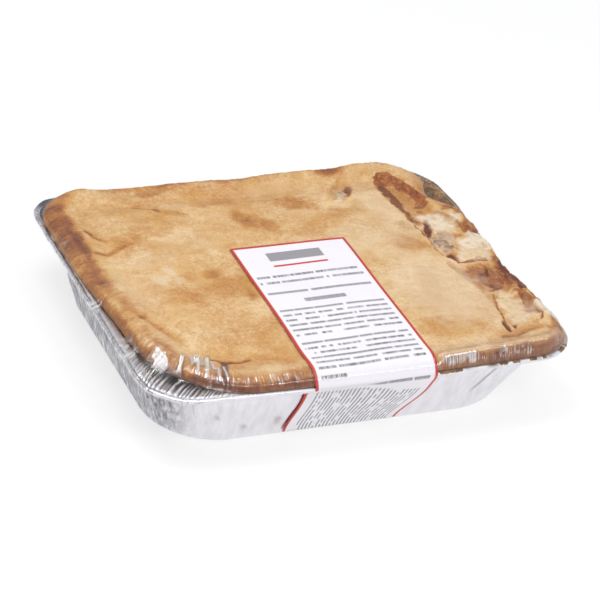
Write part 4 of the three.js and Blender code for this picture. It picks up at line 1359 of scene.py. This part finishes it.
class PIE_OT_foil_pan(bpy.types.Operator):
    """Add the foil pan with pleated corners and a rolled rim"""

    bl_idname = "pie.foil_pan"
    bl_label = "Foil Pan"

    def rings(self, pan):
        """Rings from the middle of the base up the outside, over the rim and down the inside."""
        rim, foil, flange = pan.rim_height, pan.foil, pan.flange
        outer_foot = [self.foot_ring(pan, t, 0.0) for t in (0.0, 0.25, 0.5, 0.75, 1.0)]
        outer_wall = [Ring(pan.wall_inset(z), z, 0.0, smooth(4, 30, z), 0.0) for z in range(9, 48, 4)]
        under = [Ring(flange + 0.6, rim - 3, 0.0, 1.0, 0.2), Ring(flange - 1.5, rim - foil, 0.0, 0.8, 0.6)]
        bead_height = rim - pan.bead_radius + BEAD_PROUD
        bead = []
        for degrees in BEAD_ANGLES:
            angle = math.radians(degrees)
            inset = pan.bead_radius * (1 - math.cos(angle))
            bead.append(Ring(inset, bead_height + pan.bead_radius * math.sin(angle), 0.0, 0.25, 0.1))
        ledge = []
        for t in (0.0, 0.35, 0.7, 1.0):
            ledge.append(Ring(lerp(3.6, flange - 1.2, t), rim, 0.0, 0.4, lerp(0.5, 0.8, t)))
        inner_wall = [Ring(flange + 1.1, rim - 2.6, foil, 1.0, 0.4, FLANGE_SHELF)]
        for z in range(45, 8, -4):
            inner_wall.append(Ring(pan.wall_inset(z) + foil, z, foil, smooth(4, 30, z), 0.0))
        inner_foot = [self.foot_ring(pan, t, foil) for t in (1.0, 0.66, 0.33, 0.0)]
        return outer_foot + outer_wall + under + bead + ledge + inner_wall + inner_foot

    def foot_ring(self, pan, t, lift):
        turn = t * math.pi / 2
        inset = pan.base_inset + (FOOT_ROUND - lift) * (1 - math.sin(turn)) + lift
        return Ring(inset, lift + (FOOT_ROUND - lift) * (1 - math.cos(turn)), lift, 0.0, 0.0)

    def pleat(self, stop):
        """Height of the pleats at a stop, from -1 to 1."""
        phase = 2 * math.pi * (stop.travel / PLEAT_PITCH + 0.8 * noise.noise((stop.travel / 7, 0, 31)))
        return stop.bend * math.sin(phase) * (0.5 + 0.7 * noise.noise((stop.travel / 5, 0, 32)))

    def fold(self, pan, stop, ring):
        """Share of painted shade in a fold of the foil and in the back left corner, below 0 for painted
        highlight on a pleat's ridge and on the front of the bead.
        """
        x, y = pan.point(stop, ring.inset, ring.z)
        left = smooth(-110, -146, x) * smooth(3, 14, ring.z)
        bead = ring.inset < BEAD_REACH and ring.z > BEAD_FOOT
        # Dark crumple lines on the left side: painted shade in the creases.
        if bead:
            line = left * smooth(0.16, 0.0, abs(noise.noise((stop.travel / 4, ring.inset / 2, 39))))
        else:
            line = smooth(0.1, 0.0, abs(noise.noise((stop.travel / 7, ring.z / 26, 37)))) * ring.pleat * left
        # Painted shadow over the back left corner, where the flange lies in shade.
        corner = smooth(-128, -140, x) * smooth(86, 104, y)
        shade = smooth(0.3, 0.45, ring.lift) * smooth(1.6, 3.4, ring.inset) * corner
        shade = max(shade, smooth(49, 51, ring.z) * smooth(-112, -126, x) * smooth(114, 122, y))
        dark = max(0.6 * line, 0.95 * shade)
        # Painted shade in a pleat's valley, painted highlight on its ridge and on the front of the bead.
        valley = 3.2 * ring.lift * -self.pleat(stop)
        if bead:
            valley = min(valley, -0.9 * smooth(-112, -122, y))
        return min(1.0, max(valley, dark if dark > 0.05 else -1.0))

    def ring_place(self, pan, stop, ring):
        """Point of a ring with the pleats and crinkles of the foil."""
        pleat = self.pleat(stop)
        x, y = pan.point(stop, ring.inset, ring.z)
        left = smooth(-110, -146, x)
        crinkle = 0.25 * noise.noise((stop.travel / 16, ring.z / 22, 33))
        crinkle += left * (2.6 * abs(noise.noise((stop.travel / 7, ring.z / 26, 37))) - 0.6)
        wave = left * smooth(49, 52, ring.z) * noise.noise((stop.travel / 13, 0, 38))
        crinkle *= smooth(3, 14, ring.z)
        inset = ring.inset - PLEAT_DEPTH * ring.pleat * pleat - crinkle * ring.pleat - 0.8 * wave
        ruffle = noise.noise((stop.travel / 5, 0, 34))
        lifted = PLEAT_LIFT * ring.lift * pleat + 0.25 * ring.lift * ruffle + 0.4 * wave
        inset += ring.shelf * front_left(x, y)
        return (*pan.point(stop, inset, ring.z, ring.thinner), ring.z + lifted)

    def stain(self, x, y, z, ring):
        """Share of baked-on juice, most of it inside the back right corner."""
        indoors = 1.0 if ring.thinner else smooth(0.8, 1.8, ring.inset) * smooth(53.2, 53.8, ring.z)
        pocket = indoors * smooth(118, 132, x) * smooth(36, 48, y) * smooth(30, 44, z)
        spots = max(bell(math.hypot(x - at, (z - up) * tall) / size) for at, up, tall, size in STAIN_SPOTS)
        front = smooth(-100, -112, y) * smooth(50, 44, z)
        corner = max(smooth(-118, -128, y) * smooth(40, 60, x), smooth(140, 150, x) * smooth(-50, -75, y))
        rim = smooth(52.5, 54, z) * corner * smooth(-0.15, 0.45, wobble(x, y, 9, 35))
        rim = max(rim, 0.75 * smooth(52.5, 54, z) * smooth(147, 154, x) * smooth(-52, -70, y))
        pocket *= 0.8 + 0.2 * smooth(-0.3, 0.3, wobble(x + y, z, 9, 36))
        return max(pocket, 0.35 * spots * front, 0.7 * rim)

    def execute(self, context):
        pan = Pan()
        rings = self.rings(pan)
        bm, around = pan_circle(pan, lambda stop: self.ring_place(pan, stop, rings[0]))
        stain, worn, fold = (bm.verts.layers.float.new(name) for name in ("stain", "worn", "fold"))
        loop = boundary(bm)
        for ring in rings[1:]:
            verts, loop = extruded(bm, loop)
            for vert in verts:
                x, y, z = self.ring_place(pan, pan.stops[vert[around]], ring)
                vert.co = place(x, y, z)
                vert[stain] = self.stain(x, y, z, ring)
                vert[fold] = self.fold(pan, pan.stops[vert[around]], ring)
                # Mask of painted shade on the left wall, below the rim.
                vert[worn] = smooth(-112, -140, x) * smooth(-118, -100, y) * smooth(52, 48, z)
        close_loop(bm, loop)
        tray = new_object(bm, "foil_pan", foil_finish(), "foil", "foil_tray")
        drop_layers(tray, "around")
        return {"FINISHED"}


# Film and label


def film_bunching(x, y, inset):
    """Share of gathered film: most at the front left corner, some along the front and the left."""
    corner = smooth(-70, -110, x) * smooth(-40, -85, y)
    front = 0.8 * smooth(-95, -118, y) * smooth(-110, -90, x) * smooth(148, 128, x)
    left = 0.35 * smooth(-135, -150, x) * smooth(100, 40, y)
    return max(corner, front, left) * smooth(24, 10, inset)


def film_glint(x, y):
    """Share of painted white glint on the film at a point."""
    level = 0.0
    for glint in GLINTS:
        far = path_place(glint.path, x, y)[0] + 0.35 * min(glint.half_width, 1.2) * wobble(x, y, 3, 43)
        level = max(level, smooth(glint.half_width + 0.5, glint.half_width - 0.3, far))
    return level


def film_pleat(travel, inset):
    return abs(wobble(travel, inset * 0.1, 2.6, 41)) + 0.6 * wobble(travel, inset * 0.1, 6, 42)


def film_rise(x, y):
    """Rise of the film over the lid, taut over the dips, with flat facets where it is gathered."""
    inset = lid_inset(x, y)
    rise = lid_rise(x, y) + FILM_LIFT
    rise += 0.5 * film_bunching(x, y, inset) * film_pleat(edge_travel(x, y), inset)
    spot_x, spot_y = lid_spot(x, y)
    for facet in FACETS:
        dx, dy = spot_x - facet.x, spot_y - facet.y
        p, q = turned(dx, dy, facet.turn)
        far = max(abs(p) / facet.half_length, abs(q) / facet.half_width)
        if far < 1.3:
            flat = facet.rise + facet.slope_x * dx + facet.slope_y * dy
            rise = max(rise, lerp(rise, flat, smooth(1.3, 0.9, far)))
    return rise


def film_point(u, v):
    """Point of the film over the lid, from shares of the lid's half-sizes."""
    x, y = lid_rounded(u * LID_HALF_LENGTH, v * LID_HALF_WIDTH)
    spot_x, spot_y = lid_spot(x, y)
    edge = smooth(6, 0, lid_inset(x, y)) * FILM_LIFT
    outward = Vector((spot_x / LID_HALF_LENGTH, spot_y / LID_HALF_WIDTH)).normalized() * edge
    return spot_x + outward.x, spot_y + outward.y, film_rise(x, y)


def film_ring(pan, u, v, inset, z):
    """Point of the film below the lid's edge."""
    share = z / pan.rim_height
    half_length, half_width = pan.half_length - inset, pan.half_width - inset
    corners = {name: pan_radius(name, share) for name in LID_CORNERS}
    x, y = rounded_point(u * half_length, v * half_width, half_length, half_width, corners)
    return (*bowed(x, y, half_length, half_width, share), z)


def film_rings(pan, lift):
    """Insets and heights of the film's rings from the bead to its hem."""
    rim = pan.rim_height
    wall = tuple((pan.wall_inset(z) - lift, z) for z in (rim - 10, rim * 0.6, rim * 0.3))
    return (
        (1.6 - lift, rim + 0.3 + lift), (0.2 - lift, rim - 0.2 + lift), (-0.1 - lift, rim - 1.6),
        (0.6 - lift, rim - 3.2), (5.5 - lift, rim - 4.6 - lift), (pan.flange + 0.5 - lift, rim - 6.5 - lift),
        *wall, (pan.base_inset - 0.3 - lift, FILM_HEM),
    )


class PIE_OT_film(bpy.types.Operator):
    """Add the clear film over the lid, the rim and the wall"""

    bl_idname = "pie.film"
    bl_label = "Clear Film"

    def span_point(self, pan, u, v, share):
        """Point of the film between the lid's edge and the bead."""
        x, y, rise = film_point(u, v)
        start = Vector((x, y, pan.lid_foot + rise))
        inset, z = film_rings(pan, FILM_STANDOFF)[0]
        end = Vector(film_ring(pan, u, v, inset, z))
        point = start.lerp(end, share)
        edge = lid_rounded(u * LID_HALF_LENGTH, v * LID_HALF_WIDTH)
        point.z += 0.7 * bell(2 * share - 1) * film_bunching(*edge, 0.0) * film_pleat(edge_travel(*edge), 0.0)
        return place(*point)

    def execute(self, context):
        pan = Pan()
        bm = bmesh.new()
        bmesh.ops.create_grid(bm, x_segments=FILM_COLUMNS, y_segments=FILM_ROWS, size=1)
        layer_u = bm.verts.layers.float.new("u")
        layer_v = bm.verts.layers.float.new("v")
        for vert in bm.verts:
            u = along(FILM_COLUMN_LINES, (vert.co.x + 1) / 2, ease=False) / LID_HALF_LENGTH
            v = along(FILM_ROW_LINES, (vert.co.y + 1) / 2, ease=False) / LID_HALF_WIDTH
            vert[layer_u], vert[layer_v] = u, v
            x, y, rise = film_point(u, v)
            vert.co = place(x, y, pan.lid_foot + rise)
        loop = boundary(bm)
        for share in FILM_SPANS:
            verts, loop = extruded(bm, loop)
            for vert in verts:
                vert.co = self.span_point(pan, vert[layer_u], vert[layer_v], share)
        for inset, z in film_rings(pan, FILM_STANDOFF):
            verts, loop = extruded(bm, loop)
            for vert in verts:
                vert.co = place(*film_ring(pan, vert[layer_u], vert[layer_v], inset, z))
        names = ("travel", "bunched", "glint", "streaked")
        travel, bunched, glint, streaked = (bm.verts.layers.float.new(name) for name in names)
        for vert in bm.verts:
            x, y = lid_rounded(vert[layer_u] * LID_HALF_LENGTH, vert[layer_v] * LID_HALF_WIDTH)
            vert[travel] = edge_travel(x, y) * MM
            vert[bunched] = film_bunching(x, y, lid_inset(x, y)) * smooth(50, 53, mm(vert.co.z))
            spot_x, spot_y = mm(vert.co.x) - SHIFT_X, mm(vert.co.y) - SHIFT_Y
            over_rim = smooth(52, 54, mm(vert.co.z))
            # Painted white glints and streaks of the film.
            vert[glint] = film_glint(spot_x, spot_y) * over_rim
            front = smooth(30, 45, spot_x) * smooth(-112, -120, spot_y)
            over_rim *= lerp(1.0, smooth(57, 60, mm(vert.co.z)), front)
            vert[streaked] = patch_level(GLINT_STREAK_ZONES, spot_x, spot_y) * over_rim
        film = new_object(bm, "clear_film", film_finish(), "film", "shrink_film")
        drop_layers(film, "u", "v")
        thicken(film, context.scene.pie_sizes.film, -1)
        return {"FINISHED"}


def label_section(pan, u):
    """Points down one line of the label, on the film from its top row to its foot, taut on its right side."""
    top = LABEL_TOP / LID_HALF_WIDTH
    points = []
    for k in range(LABEL_STEPS + 1):
        x, y, rise = film_point(u, lerp(top, -1.0, k / LABEL_STEPS))
        points.append(Vector((x, y, pan.lid_foot + rise + LABEL_LIFT - FILM_LIFT)))
    rings = film_rings(pan, LABEL_STANDOFF)
    taut = smooth(-0.1, 0.2, u)
    proud, high = rings[2]
    for inset, z in rings[1:-1]:
        if z < high:
            straight = lerp(proud, rings[-1][0], (high - z) / (high - rings[-1][1]))
            inset = lerp(inset, straight, taut)
        points.append(Vector(film_ring(pan, u, -1.0, inset, z)))
    share = (rings[-2][1] - LABEL_FOOT) / (rings[-2][1] - rings[-1][1])
    foot_inset = lerp(rings[-2][0], rings[-1][0], share)
    points.append(Vector(film_ring(pan, u, -1.0, foot_inset, LABEL_FOOT)))
    for _ in range(2):
        middle = [(a + 2 * b + c) / 4 for a, b, c in zip(points, points[1:], points[2:])]
        points = [points[0], *middle, points[-1]]
    return points


def resampled(points, count):
    """Points at even distances along a path."""
    lengths = [0.0]
    for a, b in zip(points, points[1:]):
        lengths.append(lengths[-1] + (b - a).length)
    made = []
    k = 0
    for n in range(count + 1):
        want = lengths[-1] * n / count
        while k + 2 < len(points) and lengths[k + 1] < want:
            k += 1
        share = (want - lengths[k]) / (lengths[k + 1] - lengths[k])
        made.append(points[k].lerp(points[k + 1], share))
    return made


class PIE_OT_label(bpy.types.Operator):
    """Add the paper label that lies on the film, over the front edge and down the front"""

    bl_idname = "pie.label"
    bl_label = "Paper Label"

    def execute(self, context):
        pan = Pan()
        bm = bmesh.new()
        bmesh.ops.create_grid(bm, x_segments=LABEL_ACROSS, y_segments=LABEL_ALONG, size=1)
        sheet = bm.loops.layers.uv.new("print")
        shares = {}
        for vert in bm.verts:
            shares[vert] = (vert.co.x + 1) / 2, (1 - vert.co.y) / 2
        lines = {}
        for vert, (across, down) in shares.items():
            left = along(LABEL_LEFT_EDGE, down)
            right = along(LABEL_RIGHT_EDGE, down)
            x = lerp(left, right, across)
            column = round(across * LABEL_ACROSS)
            if column not in lines:
                middle = lerp(LABEL_LEFT_EDGE[0][1], LABEL_RIGHT_EDGE[0][1], across)
                lines[column] = resampled(label_section(pan, middle / LID_HALF_LENGTH), LABEL_ALONG)
            point = lines[column][round(down * LABEL_ALONG)]
            slant = LABEL_SLANT * smooth(43, 4, point.z) ** 1.3
            vert.co = place(x - slant, point.y, point.z)
        for face in bm.faces:
            for loop in face.loops:
                loop[sheet].uv = shares[loop.vert]
        label = new_object(bm, "paper_label", paper_finish(), "paper", "label")
        thicken(label, context.scene.pie_sizes.paper, 1)
        return {"FINISHED"}


# Stage


def soft_light(name, place_m, target, width, depth, power):
    light = bpy.data.lights.new(name, "AREA")
    light.shape = "RECTANGLE"
    light.size = width
    light.size_y = depth
    light.energy = power
    lamp = bpy.data.objects.new(name, light)
    lamp.location = place_m
    lamp.rotation_euler = (Vector(target) - Vector(place_m)).to_track_quat("-Z", "Y").to_euler()
    bpy.context.scene.collection.objects.link(lamp)


def view_matrix():
    """Camera placed and turned as in the photograph."""
    azimuth, elevation, roll = (math.radians(a) for a in (VIEW_AZIMUTH, VIEW_ELEVATION, VIEW_ROLL))
    flat = math.cos(elevation)
    back = Vector((math.sin(azimuth) * flat, -math.cos(azimuth) * flat, math.sin(elevation)))
    level = Vector((math.cos(azimuth), math.sin(azimuth), 0))
    upright = back.cross(level)
    right = level * math.cos(roll) + upright * math.sin(roll)
    up = upright * math.cos(roll) - level * math.sin(roll)
    eye = place(*VIEW_TARGET) + back * VIEW_DISTANCE * MM
    return Matrix.Translation(eye) @ Matrix((right, up, back)).transposed().to_4x4()


class PIE_OT_stage(bpy.types.Operator):
    """Add the floor, the lights and the camera"""

    bl_idname = "pie.stage"
    bl_label = "Stage"

    def execute(self, context):
        bm = bmesh.new()
        bmesh.ops.create_grid(bm, x_segments=8, y_segments=8, size=FLOOR_HALF_SIZE)
        mesh = bpy.data.meshes.new("floor")
        bm.to_mesh(mesh)
        bm.free()
        mesh.materials.append(floor_finish())
        floor = bpy.data.objects.new("floor", mesh)
        floor.location.z = -FLOOR_DROP
        context.scene.collection.objects.link(floor)
        for light in LIGHTS:
            soft_light(*light)
        world = bpy.data.worlds.new("studio")
        world.use_nodes = True
        background = world.node_tree.nodes["Background"]
        background.inputs["Color"].default_value = SKY_COLOUR
        background.inputs["Strength"].default_value = SKY_STRENGTH
        context.scene.world = world
        context.scene.view_settings.view_transform = "Standard"
        camera = bpy.data.cameras.new("view")
        camera.lens = VIEW_LENS
        camera.clip_end = VIEW_END
        viewer = bpy.data.objects.new("view", camera)
        viewer.matrix_world = view_matrix()
        context.scene.collection.objects.link(viewer)
        context.scene.camera = viewer
        return {"FINISHED"}


# Panel and registration


class PIE_PT_panel(bpy.types.Panel):
    """Pieces and settings of the pie"""

    bl_label = "Meat Pie"
    bl_idname = "PIE_PT_panel"
    bl_space_type = "VIEW_3D"
    bl_region_type = "UI"
    bl_category = "Meat Pie"

    def draw(self, context):
        for operator in OPERATORS:
            self.layout.operator(operator.bl_idname)
        for group in (context.scene.pie_sizes, context.scene.pie_colours):
            box = self.layout.box()
            for name in group.__annotations__:
                box.prop(group, name)


OPERATORS = (
    PIE_OT_stage, PIE_OT_foil_pan, PIE_OT_filling, PIE_OT_pastry_lid, PIE_OT_drips, PIE_OT_film, PIE_OT_label,
)
CLASSES = (PieSizes, PieColours, *OPERATORS, PIE_PT_panel)


def register():
    for cls in CLASSES:
        bpy.utils.register_class(cls)
    bpy.types.Scene.pie_sizes = bpy.props.PointerProperty(type=PieSizes)
    bpy.types.Scene.pie_colours = bpy.props.PointerProperty(type=PieColours)


def unregister():
    del bpy.types.Scene.pie_colours
    del bpy.types.Scene.pie_sizes
    for cls in reversed(CLASSES):
        bpy.utils.unregister_class(cls)


def main():
    register()
    bpy.ops.pie.stage()
    bpy.ops.pie.foil_pan()
    bpy.ops.pie.filling()
    bpy.ops.pie.pastry_lid()
    bpy.ops.pie.drips()
    bpy.ops.pie.film()
    bpy.ops.pie.label()


if __name__ == "__main__":
    main()
